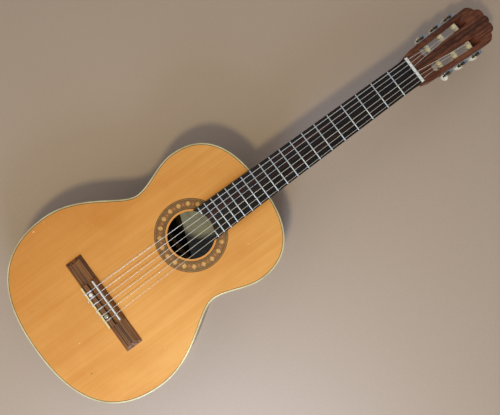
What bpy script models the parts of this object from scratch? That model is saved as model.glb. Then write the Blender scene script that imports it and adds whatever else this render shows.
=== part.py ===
"""Classical guitar, lying on its back.

Frame: metres, +Z out of the soundboard, +Y along the neck to the head, +X to the treble side.
The origin is on the outer face of the back, on the centre line, straight below the saddle.
"""

import math

import bmesh
import bpy
from mathutils import Matrix, Vector

# ---------------------------------------------------------------- driving dimensions
GAP = 0.0003  # glue line between pieces that touch
SCALE = 0.650  # saddle crown to nut
BODY_DEPTH = 0.095

TAIL_Y = -0.1512  # body outline: stations along the centre line, and half widths
LOWER_Y, LOWER_HALF = -0.0104, 0.1762
WAIST_Y, WAIST_HALF = 0.1459, 0.1107
UPPER_Y, UPPER_HALF = 0.2345, 0.1327
BODY_TOP_Y = 0.327
TAIL_REACH, LOWER_BELOW, LOWER_ABOVE = 0.079, 0.122, 0.076  # curve handles
WAIST_BELOW, WAIST_ABOVE = 0.032, 0.027
UPPER_BELOW, UPPER_ABOVE, TOP_REACH = 0.033, 0.102, 0.012

PLATE_T = 0.0025  # soundboard and back
SIDE_T = 0.0020
BINDING_W, BINDING_H = 0.0025, 0.0060
LINING_W, LINING_H = 0.0060, 0.0140
BLOCK_HALF, NECK_BLOCK_T, TAIL_BLOCK_T = 0.036, 0.030, 0.014

HOLE_Y, HOLE_R = 0.1795, 0.0410
ROSETTE_IN, ROSETTE_OUT, ROSETTE_T = 0.0445, 0.0637, 0.0009

BAR_W = 0.0070
BACK_BAR_H, HARMONIC_BAR_H, FAN_H = 0.015, 0.014, 0.005
BAR_END_H, BAR_TAPER = 0.0020, 0.030
BACK_BAR_YS = (-0.060, 0.139, 0.262)
HARMONIC_OFFSET = 0.010  # from the edge of the sound hole
FAN_COUNT, FAN_SPACING, FAN_ANGLE = 3, 0.055, math.radians(8)
FAN_Y, FAN_LENGTH = -0.005, 0.190

BRIDGE_X = 0.0044  # the bridge stands this far to the treble side of the centre line
BRIDGE_FRONT, BRIDGE_REAR = 0.0067, -0.0243
BRIDGE_HALF, BRIDGE_CENTRE_HALF, BRIDGE_END_BEVEL = 0.0910, 0.0427, 0.0080
RIDGE_H, VALLEY_H, TIE_H, WING_H, WING_EDGE_H = 0.0080, 0.0035, 0.0090, 0.0068, 0.0015
RIDGE_REAR, TIE_FRONT = -0.0050, -0.0122
SADDLE_T, SADDLE_HALF, SADDLE_PROUD, SADDLE_SEAT = 0.0026, 0.0402, 0.0043, 0.0040
STRIP_W, STRIP_H = 0.0026, 0.0023
TIE_HOLE_Z, TIE_HOLE_R = 0.0049, 0.0010

BOARD_T, BOARD_HALF_NUT, BOARD_HALF_END = 0.0065, 0.0250, 0.0311
FRETS, FRET_W, FRET_H, FRET_INSET, FRET_TANG = 19, 0.0023, 0.0010, 0.0004, 0.0015
NUT_T, NUT_PROUD, NUT_SEAT = 0.0050, 0.0019, 0.0010

NECK_T_NUT, NECK_T_HEEL = 0.0155, 0.0180
HEEL_START, HEEL_FRONT = 0.392, 0.350
HEEL_CAP_CLEAR = 0.0006

HEAD_ANGLE = math.radians(13)
HEAD_T, HEAD_PLATE_T = 0.0170, 0.0025
HEAD_ROOT_HALF, HEAD_SHOULDER_S, HEAD_SHOULDER_HALF = 0.0282, 0.016, 0.0324
HEAD_SIDE_END_S, HEAD_SIDE_END_HALF = 0.148, 0.0379
CREST_OUTER = (0.025, 0.167)  # notches and tip of the scalloped crest, across and along
CREST_INNER = (0.0074, 0.1765)
CREST_TIP_S = 0.181
CREST_OUTER_RISE, CREST_INNER_RISE = 0.0042, 0.0060

MACHINE_S, MACHINE_PITCH = 0.084, 0.035  # middle roller from the nut, and spacing
SLOT_X, SLOT_W = 0.0185, 0.0145
SLOT_LOW, SLOT_HIGH, SLOT_RAMP = -0.056, 0.057, 0.010
ROLLER_DEPTH, ROLLER_R, ROLLER_HALF = 0.0060, 0.0050, 0.0070
PIVOT_R, PIVOT_L = 0.0025, 0.0042
SHAFT_R, SHAFT_CLEAR, GEAR_SEAT_R = 0.0030, 0.0004, 0.0020
PLATE_METAL_T, PLATE_LOW, PLATE_HIGH = 0.0012, -0.0070, 0.0064
PLATE_END = 0.0120
GEAR_TEETH, GEAR_PITCH_R, GEAR_TIP_R, GEAR_ROOT_R, GEAR_T = 14, 0.00575, 0.0062, 0.0051, 0.0030
TOOTH_TIP_W, TOOTH_ROOT_W = 0.0008, 0.0012
WORM_CORE_R, WORM_TIP_R, WORM_TURNS = 0.0021, 0.0030, 3
THREAD_TIP_W, THREAD_ROOT_W = 0.0006, 0.0012
JOURNAL_R, EAR_T, EAR_IN, EAR_HALF = 0.0016, 0.0012, 0.0050, 0.0030
STEM_R, STEM_END = 0.0020, -0.0110
BUTTON_HALF_W, BUTTON_HALF_T, BUTTON_L, BUTTON_NECK_R = 0.0078, 0.0042, 0.0165, 0.0032
BUTTON_TURN = {1: 8, 2: 70, 3: 62, 4: 110, 5: 65, 6: 35}  # rest angle of each button, degrees

STRING_R = {1: 0.00036, 2: 0.00041, 3: 0.00051, 4: 0.00037, 5: 0.00045, 6: 0.00055}
NUT_SPREAD, SADDLE_SPREAD = 0.0412, 0.0571
ROLLER_LATERAL = (-0.0019, 0.0015, 0.0034)  # where a string meets its roller, inwards from its middle

# ---------------------------------------------------------------- derived places
TOP_Z = BODY_DEPTH
BOARD_Z = TOP_Z + GAP
BOARD_TOP_Z = BOARD_Z + BOARD_T
BRIDGE_Z = TOP_Z + GAP
NUT_BACK = SCALE + NUT_T
NUT_TOP_Z = BOARD_TOP_Z + NUT_PROUD
SADDLE_TOP_Z = BRIDGE_Z + RIDGE_H + SADDLE_PROUD
SPLAY = math.atan((HEAD_SIDE_END_HALF - HEAD_SHOULDER_HALF) / (HEAD_SIDE_END_S - HEAD_SHOULDER_S))
HEAD_MID_HALF = HEAD_SHOULDER_HALF + (MACHINE_S - HEAD_SHOULDER_S) * math.tan(SPLAY)
HEAD_SIDE_A = (HEAD_MID_HALF - SLOT_X) * math.cos(SPLAY)  # slot centre to the head's side
PLATE_OUT_A = HEAD_SIDE_A + GAP + PLATE_METAL_T
WORM_A = PLATE_OUT_A + GAP + WORM_TIP_R
WORM_PITCH = 2 * math.pi * GEAR_PITCH_R / GEAR_TEETH
CENTRE_DISTANCE = GEAR_ROOT_R + SHAFT_CLEAR + WORM_TIP_R
HEAD_FRAME = Matrix.Translation((0, NUT_BACK, TOP_Z)) @ Matrix.Rotation(-HEAD_ANGLE, 4, "X")
SIDES = {"bass": -1, "treble": 1}


# ---------------------------------------------------------------- scene and materials
for old in list(bpy.data.objects):
    bpy.data.objects.remove(old)


def material(name, colour, roughness, metallic=0.0):
    made = bpy.data.materials.new(name)
    made.use_nodes = True
    shader = made.node_tree.nodes["Principled BSDF"]
    shader.inputs["Base Color"].default_value = (*colour, 1)
    shader.inputs["Roughness"].default_value = roughness
    shader.inputs["Metallic"].default_value = metallic
    return made


TOP_WOOD = material("soundboard_wood", (0.70, 0.34, 0.09), 0.3)
BODY_WOOD = material("side_wood", (0.14, 0.05, 0.025), 0.3)
INNER_WOOD = material("inner_wood", (0.60, 0.46, 0.28), 0.7)
NECK_WOOD = material("neck_wood", (0.25, 0.09, 0.045), 0.35)
ROSEWOOD = material("rosewood", (0.16, 0.06, 0.03), 0.4)
BOARD_WOOD = material("fingerboard_wood", (0.025, 0.018, 0.017), 0.45)
INLAY = material("rosette_inlay", (0.30, 0.16, 0.07), 0.35)
BINDING = material("binding_plastic", (0.70, 0.65, 0.45), 0.35)
BONE = material("bone", (0.85, 0.82, 0.72), 0.4)
NYLON = material("string_nylon", (0.75, 0.72, 0.66), 0.3)
ROLLER_PLASTIC = material("roller_plastic", (0.80, 0.72, 0.45), 0.4)
PEARL = material("button_pearl", (0.80, 0.78, 0.68), 0.25)
STEEL = material("plated_steel", (0.45, 0.45, 0.46), 0.3, 1.0)
BRASS = material("aged_brass", (0.35, 0.27, 0.13), 0.4, 1.0)


# ---------------------------------------------------------------- mesh tools
def add_object(name, mesh, finish=None, frame=None):
    """Links a bmesh as a named object, faces out, in the given frame."""
    bmesh.ops.recalc_face_normals(mesh, faces=mesh.faces)
    data = bpy.data.meshes.new(name)
    mesh.to_mesh(data)
    mesh.free()
    made = bpy.data.objects.new(name, data)
    bpy.context.scene.collection.objects.link(made)
    if finish:
        data.materials.append(finish)
    if frame:
        made.matrix_world = frame
    return made


def helper(mesh, frame=None):
    """A cutter or a piece to be joined: never a node itself."""
    made = add_object("helper", mesh, frame=frame)
    made.hide_render = True
    made.display_type = "WIRE"
    return made


def boolean(target, other, operation):
    made = target.modifiers.new(operation.lower(), "BOOLEAN")
    made.operation = operation
    made.solver = "EXACT"
    made.object = other


def loft(sections):
    """A closed solid through sections with equal numbers of points, capped at both ends."""
    mesh = bmesh.new()
    rows = [[mesh.verts.new(p) for p in section] for section in sections]
    count = len(rows[0])
    for low, high in zip(rows, rows[1:]):
        for i in range(count):
            mesh.faces.new((low[i], low[(i + 1) % count], high[(i + 1) % count], high[i]))
    mesh.faces.new(reversed(rows[0]))
    mesh.faces.new(rows[-1])
    return mesh


def prism(points, low, high):
    """An outline in X and Y, extruded in Z."""
    return loft([[(x, y, z) for x, y in points] for z in (low, high)])


def cross_prism(points, low, high):
    """An outline in Y and Z, extruded in X."""
    return loft([[(x, y, z) for y, z in points] for x in (low, high)])


def box(low, high):
    (x0, y0, z0), (x1, y1, z1) = low, high
    return prism([(x0, y0), (x1, y0), (x1, y1), (x0, y1)], z0, z1)


def turned(profile, steps, along="Z"):
    """A solid of revolution from (radius, position) pairs, closed by flat ends."""
    angles = [2 * math.pi * i / steps for i in range(steps)]
    sections = [[(r * math.cos(a), r * math.sin(a), z) for a in angles] for r, z in profile]
    mesh = loft(sections)
    if along == "X":
        bmesh.ops.transform(mesh, matrix=Matrix.Rotation(math.pi / 2, 4, "Y"), verts=mesh.verts)
    if along == "Y":
        bmesh.ops.transform(mesh, matrix=Matrix.Rotation(-math.pi / 2, 4, "X"), verts=mesh.verts)
    return mesh


def add_ring(mesh, centre, inner, outer, low, high):
    """Adds a flat ring to the mesh. inner and outer are lists of points with equal lengths."""
    def row(points, z):
        return [mesh.verts.new((centre[0] + x, centre[1] + y, z)) for x, y in points]

    rows = [row(inner, low), row(outer, low), row(outer, high), row(inner, high)]
    count = len(inner)
    for a, b in zip(rows, rows[1:] + rows[:1]):
        for i in range(count):
            mesh.faces.new((a[i], a[(i + 1) % count], b[(i + 1) % count], b[i]))


def ring(centre, inner, outer, low, high):
    mesh = bmesh.new()
    add_ring(mesh, centre, inner, outer, low, high)
    return mesh


def circle(radius, steps, start=0.0):
    angles = [start + 2 * math.pi * i / steps for i in range(steps)]
    return [(radius * math.cos(a), radius * math.sin(a)) for a in angles]


def arc(start, end, rise, steps):
    """Points on the arc from start to end that stands rise off its chord, to the left."""
    a, b = Vector(start), Vector(end)
    chord = b - a
    left = Vector((-chord.y, chord.x)).normalized()
    radius = (chord.length**2 / 4 + rise**2) / (2 * rise)
    centre = (a + b) / 2 + left * (rise - radius)
    half = math.asin(min(1.0, chord.length / 2 / radius))
    middle = math.atan2(left.y, left.x)
    turns = [middle + half * (1 - 2 * i / steps) for i in range(steps + 1)]
    return [(centre.x + radius * math.cos(t), centre.y + radius * math.sin(t)) for t in turns]


# ---------------------------------------------------------------- body outline
def bezier(a, b, c, d, t):
    """Point and direction on a cubic curve."""
    u = 1 - t
    point = [u**3 * p + 3 * u * u * t * q + 3 * u * t * t * r + t**3 * s for p, q, r, s in zip(a, b, c, d)]
    way = [u * u * (q - p) + 2 * u * t * (r - q) + t * t * (s - r) for p, q, r, s in zip(a, b, c, d)]
    return Vector(point), Vector(way).normalized()


OUTLINE_CURVES = (
    ((0, TAIL_Y), (TAIL_REACH, TAIL_Y), (LOWER_HALF, LOWER_Y - LOWER_BELOW), (LOWER_HALF, LOWER_Y)),
    ((LOWER_HALF, LOWER_Y), (LOWER_HALF, LOWER_Y + LOWER_ABOVE), (WAIST_HALF, WAIST_Y - WAIST_BELOW),
     (WAIST_HALF, WAIST_Y)),
    ((WAIST_HALF, WAIST_Y), (WAIST_HALF, WAIST_Y + WAIST_ABOVE), (UPPER_HALF, UPPER_Y - UPPER_BELOW),
     (UPPER_HALF, UPPER_Y)),
    ((UPPER_HALF, UPPER_Y), (UPPER_HALF, UPPER_Y + UPPER_ABOVE), (TOP_REACH, BODY_TOP_Y), (0, BODY_TOP_Y)),
)
OUTLINE_STEPS = (9, 6, 5, 10)


def half_outline(inset):
    """The treble half of the body outline, from the tail's centre to the neck's, moved in by inset."""
    points = []
    for curve, steps in zip(OUTLINE_CURVES, OUTLINE_STEPS):
        for i in range(steps + (curve is OUTLINE_CURVES[-1])):
            point, way = bezier(*curve, i / steps)
            points.append((point.x - way.y * inset, point.y + way.x * inset))
    return points


def full_outline(inset):
    half = half_outline(inset)
    return half + [(-x, y) for x, y in reversed(half[1:-1])]


def crossing(points, value, axis):
    """The point where a run of points passes a value of x (axis 0) or y (axis 1)."""
    for a, b in zip(points, points[1:]):
        if (a[axis] - value) * (b[axis] - value) <= 0 and a[axis] != b[axis]:
            share = (value - a[axis]) / (b[axis] - a[axis])
            return tuple(p + share * (q - p) for p, q in zip(a, b))
    raise ValueError("the outline doesn't pass there")


def half_width(y, inset):
    return crossing(half_outline(inset), y, 1)[0]


def between_blocks(inset, edge):
    """The half outline without its two ends, where the blocks stand."""
    half = half_outline(inset)
    middle = [p for p in half if p[0] > edge]
    return [crossing(half, edge, 0), *middle, crossing(half[::-1], edge, 0)]


def band(name, outer, inner, low, high, side, finish):
    """A strip between two runs of points, on one side of the centre line."""
    points = [(side * x, y) for x, y in outer + inner[::-1]]
    return add_object(name, prism(points, low, high), finish)


# ---------------------------------------------------------------- body
PLATE_INSET = BINDING_W + GAP
LINING_OUT = BINDING_W + GAP
LINING_IN = LINING_OUT + LINING_W
BACK_INNER_Z = PLATE_T + GAP
TOP_INNER_Z = TOP_Z - PLATE_T - GAP
HOLE_STEPS = 40


def build_plates():
    add_object("back_plate", prism(full_outline(PLATE_INSET), 0, PLATE_T), BODY_WOOD)
    soundboard = add_object("soundboard", prism(full_outline(PLATE_INSET), TOP_Z - PLATE_T, TOP_Z), TOP_WOOD)
    at_hole = Matrix.Translation((0, HOLE_Y, TOP_Z))
    hole = turned([(HOLE_R, -2 * PLATE_T), (HOLE_R, 2 * PLATE_T)], HOLE_STEPS)
    boolean(soundboard, helper(hole, at_hole), "DIFFERENCE")
    groove = ring((0, 0), circle(ROSETTE_IN - GAP, HOLE_STEPS), circle(ROSETTE_OUT + GAP, HOLE_STEPS),
                  -ROSETTE_T - GAP, PLATE_T)
    boolean(soundboard, helper(groove, at_hole), "DIFFERENCE")
    rosette = ring((0, 0), circle(ROSETTE_IN, HOLE_STEPS), circle(ROSETTE_OUT, HOLE_STEPS), -ROSETTE_T, 0)
    add_object("rosette", rosette, INLAY, at_hole)


def build_edges():
    """Sides, the four lining strips and the two bindings."""
    seam = GAP / 2
    for word, side in SIDES.items():
        outer, inner = ([(max(x, seam), y) for x, y in half_outline(inset)] for inset in (0, SIDE_T))
        band(f"side_{word}", outer, inner, BINDING_H + GAP, TOP_Z - BINDING_H - GAP, side, BODY_WOOD)
        edge = BLOCK_HALF + GAP
        outer, inner = between_blocks(LINING_OUT, edge), between_blocks(LINING_IN, edge)
        for level, low in (("back", BACK_INNER_Z), ("top", TOP_INNER_Z - LINING_H)):
            strip = [*outer, *inner[::-1]]
            mesh = prism([(side * x, y) for x, y in strip], low, low + LINING_H)
            add_object(f"{level}_lining_{word}", mesh, INNER_WOOD)
    edges = full_outline(BINDING_W), full_outline(0)
    add_object("back_binding", ring((0, 0), *edges, GAP, BINDING_H), BINDING)
    add_object("top_binding", ring((0, 0), *edges, TOP_Z - BINDING_H, TOP_Z), BINDING)


def build_blocks():
    inset = LINING_OUT
    half = half_outline(inset)
    for name, run, inner_y in (
        ("tail_block", half, TAIL_Y + inset + TAIL_BLOCK_T),
        ("neck_block", half[::-1], BODY_TOP_Y - inset - NECK_BLOCK_T),
    ):
        corner = crossing(run, BLOCK_HALF, 0)
        curve = []
        for point in run:
            if point[0] >= BLOCK_HALF:
                break
            curve.append(point)
        curve.append(corner)
        face = [(-x, y) for x, y in curve[:0:-1]] + curve
        points = [*face, (BLOCK_HALF, inner_y), (-BLOCK_HALF, inner_y)]
        add_object(name, prism(points, BACK_INNER_Z, TOP_INNER_Z), INNER_WOOD)


def bar_mesh(length, height, hang):
    """A brace along Y whose ends are cut down. hang is -1 below the soundboard, 1 on the back."""
    half, shoulder = length / 2, length / 2 - BAR_TAPER
    profile = [(-half, 0), (half, 0), (half, BAR_END_H), (shoulder, height), (-shoulder, height),
               (-half, BAR_END_H)]
    return cross_prism([(y, hang * z) for y, z in profile], -BAR_W / 2, BAR_W / 2)


def build_braces():
    across = Matrix.Rotation(math.pi / 2, 4, "Z")
    bars = [(f"back_bar_{i + 1}", y, BACK_BAR_H, 1, BACK_INNER_Z) for i, y in enumerate(BACK_BAR_YS)]
    reach = HOLE_R + HARMONIC_OFFSET
    bars += [("harmonic_bar_lower", HOLE_Y - reach, HARMONIC_BAR_H, -1, TOP_INNER_Z),
             ("harmonic_bar_upper", HOLE_Y + reach, HARMONIC_BAR_H, -1, TOP_INNER_Z)]
    for name, y, height, hang, z in bars:
        edge = min(half_width(y - BAR_W / 2, LINING_IN), half_width(y + BAR_W / 2, LINING_IN))
        frame = Matrix.Translation((0, y, z)) @ across
        add_object(name, bar_mesh(2 * (edge - GAP), height, hang), INNER_WOOD, frame)
    for i in range(FAN_COUNT):
        place = i - (FAN_COUNT - 1) / 2
        frame = Matrix.Translation((place * FAN_SPACING, FAN_Y, TOP_INNER_Z))
        frame = frame @ Matrix.Rotation(place * FAN_ANGLE, 4, "Z")
        add_object(f"fan_brace_{i + 1}", bar_mesh(FAN_LENGTH, FAN_H, -1), INNER_WOOD, frame)


# ---------------------------------------------------------------- strings' places
def across(string, spread):
    """The x of a string, 6 on the bass side and 1 on the treble side."""
    return spread * (3.5 - string) / 5


# ---------------------------------------------------------------- bridge
def build_bridge():
    front, rear = BRIDGE_FRONT, BRIDGE_REAR
    rebate = rear + STRIP_W + GAP
    centre = [(rear, 0), (front, 0), (front, 0.0028), (front - 0.0035, RIDGE_H), (RIDGE_REAR, RIDGE_H),
              (RIDGE_REAR - 0.0010, VALLEY_H), (TIE_FRONT + 0.0005, VALLEY_H), (TIE_FRONT, TIE_H),
              (rebate, TIE_H), (rebate, TIE_H - STRIP_H), (rear, TIE_H - STRIP_H)]
    centre_half = BRIDGE_CENTRE_HALF
    bridge = add_object("bridge", cross_prism(centre, -centre_half, centre_half), ROSEWOOD,
                        Matrix.Translation((BRIDGE_X, 0, BRIDGE_Z)))
    middle, half = (front + rear) / 2, (front - rear) / 2
    steps = 8
    arch = [(rear, 0), (front, 0)]
    for i in range(steps + 1):
        share = 1 - 2 * i / steps
        arch.append((middle + half * share, WING_EDGE_H + (WING_H - WING_EDGE_H) * (1 - share * share)))
    at_bridge = bridge.matrix_world
    for side in SIDES.values():
        root = [(side * (centre_half - 0.0006), y, z) for y, z in arch]
        tip = [(side * (BRIDGE_HALF - BRIDGE_END_BEVEL * z / WING_H), y, z) for y, z in arch]
        boolean(bridge, helper(loft([root, tip]), at_bridge), "UNION")
    slot_half, slot_long = SADDLE_T / 2 + GAP, SADDLE_HALF + GAP
    slot = box((-slot_long, -slot_half, RIDGE_H - SADDLE_SEAT), (slot_long, slot_half, 2 * RIDGE_H))
    boolean(bridge, helper(slot, at_bridge), "DIFFERENCE")
    for string in STRING_R:
        hole = turned([(TIE_HOLE_R, rear - 0.002), (TIE_HOLE_R, TIE_FRONT + 0.001)], 8, "Y")
        place = Matrix.Translation((BRIDGE_X + across(string, SADDLE_SPREAD), 0, BRIDGE_Z + TIE_HOLE_Z))
        boolean(bridge, helper(hole, place), "DIFFERENCE")

    low, high = BRIDGE_Z + RIDGE_H - SADDLE_SEAT + GAP, SADDLE_TOP_Z
    t = SADDLE_T / 2
    crown = [(-t, low), (t, low), (t, high - t * 0.7), (t * 0.55, high), (-t * 0.55, high), (-t, high - t * 0.7)]
    add_object("saddle", cross_prism(crown, -SADDLE_HALF, SADDLE_HALF), BONE,
               Matrix.Translation((BRIDGE_X, 0, 0)))
    strip = box((-centre_half + 2 * GAP, rear - GAP, TIE_H - STRIP_H + GAP),
                (centre_half - 2 * GAP, rear + STRIP_W, TIE_H + GAP))
    add_object("tie_block_strip", strip, BONE, Matrix.Translation((BRIDGE_X, 0, BRIDGE_Z)))


# ---------------------------------------------------------------- fingerboard and nut
def board_half(y):
    end = HOLE_Y + HOLE_R / 2
    return BOARD_HALF_NUT + (BOARD_HALF_END - BOARD_HALF_NUT) * (SCALE - y) / (SCALE - end)


def build_fingerboard():
    head_end, hole_end = SCALE - GAP, HOLE_Y + HOLE_R / 2
    outline = [(-board_half(hole_end), hole_end), (board_half(hole_end), hole_end),
               (board_half(head_end), head_end), (-board_half(head_end), head_end)]
    board = add_object("fingerboard", prism(outline, BOARD_Z, BOARD_TOP_Z), BOARD_WOOD)
    mesh = bmesh.new()
    w = FRET_W / 2
    crown = [(-w * 0.6, -FRET_TANG), (w * 0.6, -FRET_TANG), (w, FRET_H * 0.35), (w * 0.4, FRET_H),
             (-w * 0.4, FRET_H), (-w, FRET_H * 0.35)]
    for number in range(1, FRETS + 1):
        y = SCALE * 2 ** (-number / 12)
        edge = board_half(y) - FRET_INSET
        rows = [[mesh.verts.new((x, y + dy, BOARD_TOP_Z + z)) for dy, z in crown] for x in (-edge, edge)]
        for i in range(len(crown)):
            j = (i + 1) % len(crown)
            mesh.faces.new((rows[0][i], rows[0][j], rows[1][j], rows[1][i]))
        mesh.faces.new(rows[0])
        mesh.faces.new(rows[1])
    boolean(board, helper(mesh), "UNION")
    hole = turned([(HOLE_R, BOARD_Z - BOARD_T), (HOLE_R, BOARD_TOP_Z + BOARD_T)], HOLE_STEPS)
    boolean(board, helper(hole, Matrix.Translation((0, HOLE_Y, 0))), "DIFFERENCE")

    low = TOP_Z - NUT_SEAT + GAP
    profile = [(SCALE, low), (NUT_BACK, low), (NUT_BACK, NUT_TOP_Z - 0.0014), (NUT_BACK - 0.0015, NUT_TOP_Z - 0.0003),
               (SCALE + 0.0008, NUT_TOP_Z), (SCALE, NUT_TOP_Z - 0.0004)]
    add_object("nut", cross_prism(profile, -BOARD_HALF_NUT, BOARD_HALF_NUT), BONE)


# ---------------------------------------------------------------- neck and head
# Half sections as (share of half width, share of depth), from the top edge to the bottom's middle.
SHAFT_SECTION = ((1, 0), (0.985, 0.25), (0.93, 0.50), (0.80, 0.74), (0.60, 0.90), (0.33, 0.985), (0, 1))
HEEL_SECTION = ((1, 0), (0.84, 0.12), (0.66, 0.28), (0.53, 0.48), (0.45, 0.72), (0.40, 1), (0, 1))


def neck_sections():
    """Sections of the shaft and heel from the body to the nut."""
    body_face = BODY_TOP_Y + GAP
    nut_end = NUT_BACK - 0.001
    heel_depth = TOP_Z - HEEL_CAP_CLEAR
    stations = [body_face, HEEL_FRONT]
    stations += [HEEL_FRONT + (HEEL_START - HEEL_FRONT) * s for s in (0.06, 0.16, 0.32, 0.55, 0.78, 1)]
    stations += [(HEEL_START + nut_end) / 2, nut_end]
    sections = []
    for y in stations:
        shaft = NECK_T_NUT + (NECK_T_HEEL - NECK_T_NUT) * (nut_end - y) / (nut_end - HEEL_START)
        near = min(1.0, max(0.0, (HEEL_START - y) / (HEEL_START - HEEL_FRONT)))
        swell = 1 - math.sqrt(1 - near * near)
        depth = min(shaft, NECK_T_HEEL) + (heel_depth - NECK_T_HEEL) * swell
        half = []
        for (sx, sz), (hx, hz) in zip(SHAFT_SECTION, HEEL_SECTION):
            half.append((board_half(y) * (sx + (hx - sx) * swell), depth * (sz + (hz - sz) * swell)))
        ring_points = half + [(-x, z) for x, z in reversed(half[:-1])]
        sections.append([(x, y, TOP_Z - z) for x, z in ring_points])
    return sections


def head_outline(start, start_half):
    """The head's outline seen square on, in metres across and along the head."""
    half = [(start_half, start), (HEAD_ROOT_HALF, 0.0010), (0.0305, 0.0070),
            (HEAD_SHOULDER_HALF, HEAD_SHOULDER_S)]
    side_end = (HEAD_SIDE_END_HALF, HEAD_SIDE_END_S)
    outer = arc(CREST_OUTER, side_end, CREST_OUTER_RISE, 6)
    inner = arc(CREST_INNER, CREST_OUTER, CREST_INNER_RISE, 6)
    half += outer[:0:-1] + inner[::-1]
    tip = arc((-CREST_INNER[0], CREST_INNER[1]), CREST_INNER, CREST_TIP_S - CREST_INNER[1], 6)
    return half + tip[-2:0:-1] + [(-x, s) for x, s in reversed(half)]


def side_frame(side):
    """On the slot's centre line beside the middle roller, X along the roller and Y along the slot."""
    return (HEAD_FRAME @ Matrix.Translation((side * SLOT_X, MACHINE_S, 0))
            @ Matrix.Rotation(-side * SPLAY, 4, "Z"))


def machine_frame(side, place):
    """On a roller's axis, in the middle of the slot. place is -1, 0 or 1 from the nut to the tip."""
    return side_frame(side) @ Matrix.Translation((0, place * MACHINE_PITCH, -ROLLER_DEPTH))


def cut_slots(piece):
    top, bottom = HEAD_PLATE_T + 0.001, -HEAD_T - 0.001
    ramp = SLOT_RAMP
    profile = [(SLOT_LOW, top), (SLOT_LOW + ramp, bottom), (SLOT_HIGH - ramp, bottom), (SLOT_HIGH, top)]
    for side in SIDES.values():
        slot = cross_prism(profile, -SLOT_W / 2, SLOT_W / 2)
        boolean(piece, helper(slot, side_frame(side)), "DIFFERENCE")


def build_neck():
    neck = add_object("neck", loft(neck_sections()), NECK_WOOD)
    head = prism(head_outline(-0.004, BOARD_HALF_NUT), -HEAD_T, 0)
    boolean(neck, helper(head, HEAD_FRAME), "UNION")
    wide = 2 * HEAD_ROOT_HALF
    seat = box((-wide, SCALE - GAP, TOP_Z - NUT_SEAT), (wide, NUT_BACK + GAP, TOP_Z + 0.02))
    boolean(neck, helper(seat), "DIFFERENCE")
    cut_slots(neck)
    for side in SIDES.values():
        for place in (-1, 0, 1):
            bore_r = SHAFT_R + SHAFT_CLEAR
            ends = -ROLLER_HALF - PIVOT_L - 0.0008, HEAD_SIDE_A + 0.002
            bore = turned([(bore_r, side * end) for end in ends], 12, "X")
            boolean(neck, helper(bore, machine_frame(side, place)), "DIFFERENCE")
    plate = add_object("head_plate", prism(head_outline(0.0012, HEAD_ROOT_HALF - 0.0005), GAP, HEAD_PLATE_T),
                       ROSEWOOD, HEAD_FRAME)
    cut_slots(plate)


# ---------------------------------------------------------------- tuning machines
def build_machine_plate(word, side):
    low, high = -MACHINE_PITCH - PLATE_END, MACHINE_PITCH + CENTRE_DISTANCE + PLATE_END / 2
    inner, outer = HEAD_SIDE_A + GAP, PLATE_OUT_A
    chamfer = 0.003
    outline = [(low, PLATE_LOW + chamfer), (low + chamfer, PLATE_LOW), (high - chamfer, PLATE_LOW),
               (high, PLATE_LOW + chamfer), (high, PLATE_HIGH - chamfer), (high - chamfer, PLATE_HIGH),
               (low + chamfer, PLATE_HIGH), (low, PLATE_HIGH - chamfer)]
    frame = machine_frame(side, 0)
    plate = add_object(f"machine_plate_{word}", cross_prism(outline, side * inner, side * outer), STEEL, frame)
    ear_end = WORM_A + EAR_HALF - 0.0002
    for place in (-1, 0, 1):
        at = place * MACHINE_PITCH
        bore = turned([(SHAFT_R + SHAFT_CLEAR, side * (inner - 0.001)), (SHAFT_R + SHAFT_CLEAR, side * (outer + 0.001))],
                      12, "X")
        boolean(plate, helper(bore, frame @ Matrix.Translation((0, at, 0))), "DIFFERENCE")
        worm_y = at + CENTRE_DISTANCE
        for ear_low in (EAR_IN, -EAR_IN - EAR_T):
            xs = sorted((side * (outer - PLATE_METAL_T / 2), side * ear_end))
            ear = box((xs[0], worm_y - EAR_HALF, ear_low), (xs[1], worm_y + EAR_HALF, ear_low + EAR_T))
            boolean(plate, helper(ear, frame), "UNION")
        reach = EAR_IN + 2 * EAR_T
        bore = turned([(JOURNAL_R + GAP, -reach), (JOURNAL_R + GAP, reach)], 10)
        place_worm = frame @ Matrix.Translation((side * WORM_A, worm_y, 0))
        boolean(plate, helper(bore, place_worm), "DIFFERENCE")


def roller_mesh(side):
    """Steel shaft with a thick sleeve, turned about X, from the inner pivot to the gear's seat."""
    gear_face = WORM_A - GEAR_T / 2
    profile = [(PIVOT_R, -ROLLER_HALF - PIVOT_L), (PIVOT_R, -ROLLER_HALF), (ROLLER_R, -ROLLER_HALF),
               (ROLLER_R, ROLLER_HALF), (SHAFT_R, ROLLER_HALF), (SHAFT_R, gear_face - GAP),
               (GEAR_SEAT_R, gear_face - GAP), (GEAR_SEAT_R, gear_face + GEAR_T - GAP)]
    return turned([(r, side * x) for r, x in profile], 12, "X")


def gear_mesh(side):
    """Spur wheel about X with a space, not a tooth, towards the worm at +Y."""
    outer = []
    for tooth in range(GEAR_TEETH):
        middle = 2 * math.pi * (tooth + 0.5) / GEAR_TEETH
        for radius, width, sign in ((GEAR_ROOT_R, TOOTH_ROOT_W, -1), (GEAR_TIP_R, TOOTH_TIP_W, -1),
                                    (GEAR_TIP_R, TOOTH_TIP_W, 1), (GEAR_ROOT_R, TOOTH_ROOT_W, 1)):
            angle = middle + sign * width / 2 / radius
            outer.append((radius * math.cos(angle), radius * math.sin(angle)))
    turn = Matrix.Rotation(math.pi / 2, 4, "Y") @ Matrix.Rotation(math.pi / 2, 4, "Z")
    mesh = prism(outer, -GEAR_T / 2, GEAR_T / 2)
    bmesh.ops.transform(mesh, matrix=Matrix.Translation((side * WORM_A, 0, 0)) @ turn, verts=mesh.verts)
    return mesh


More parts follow.
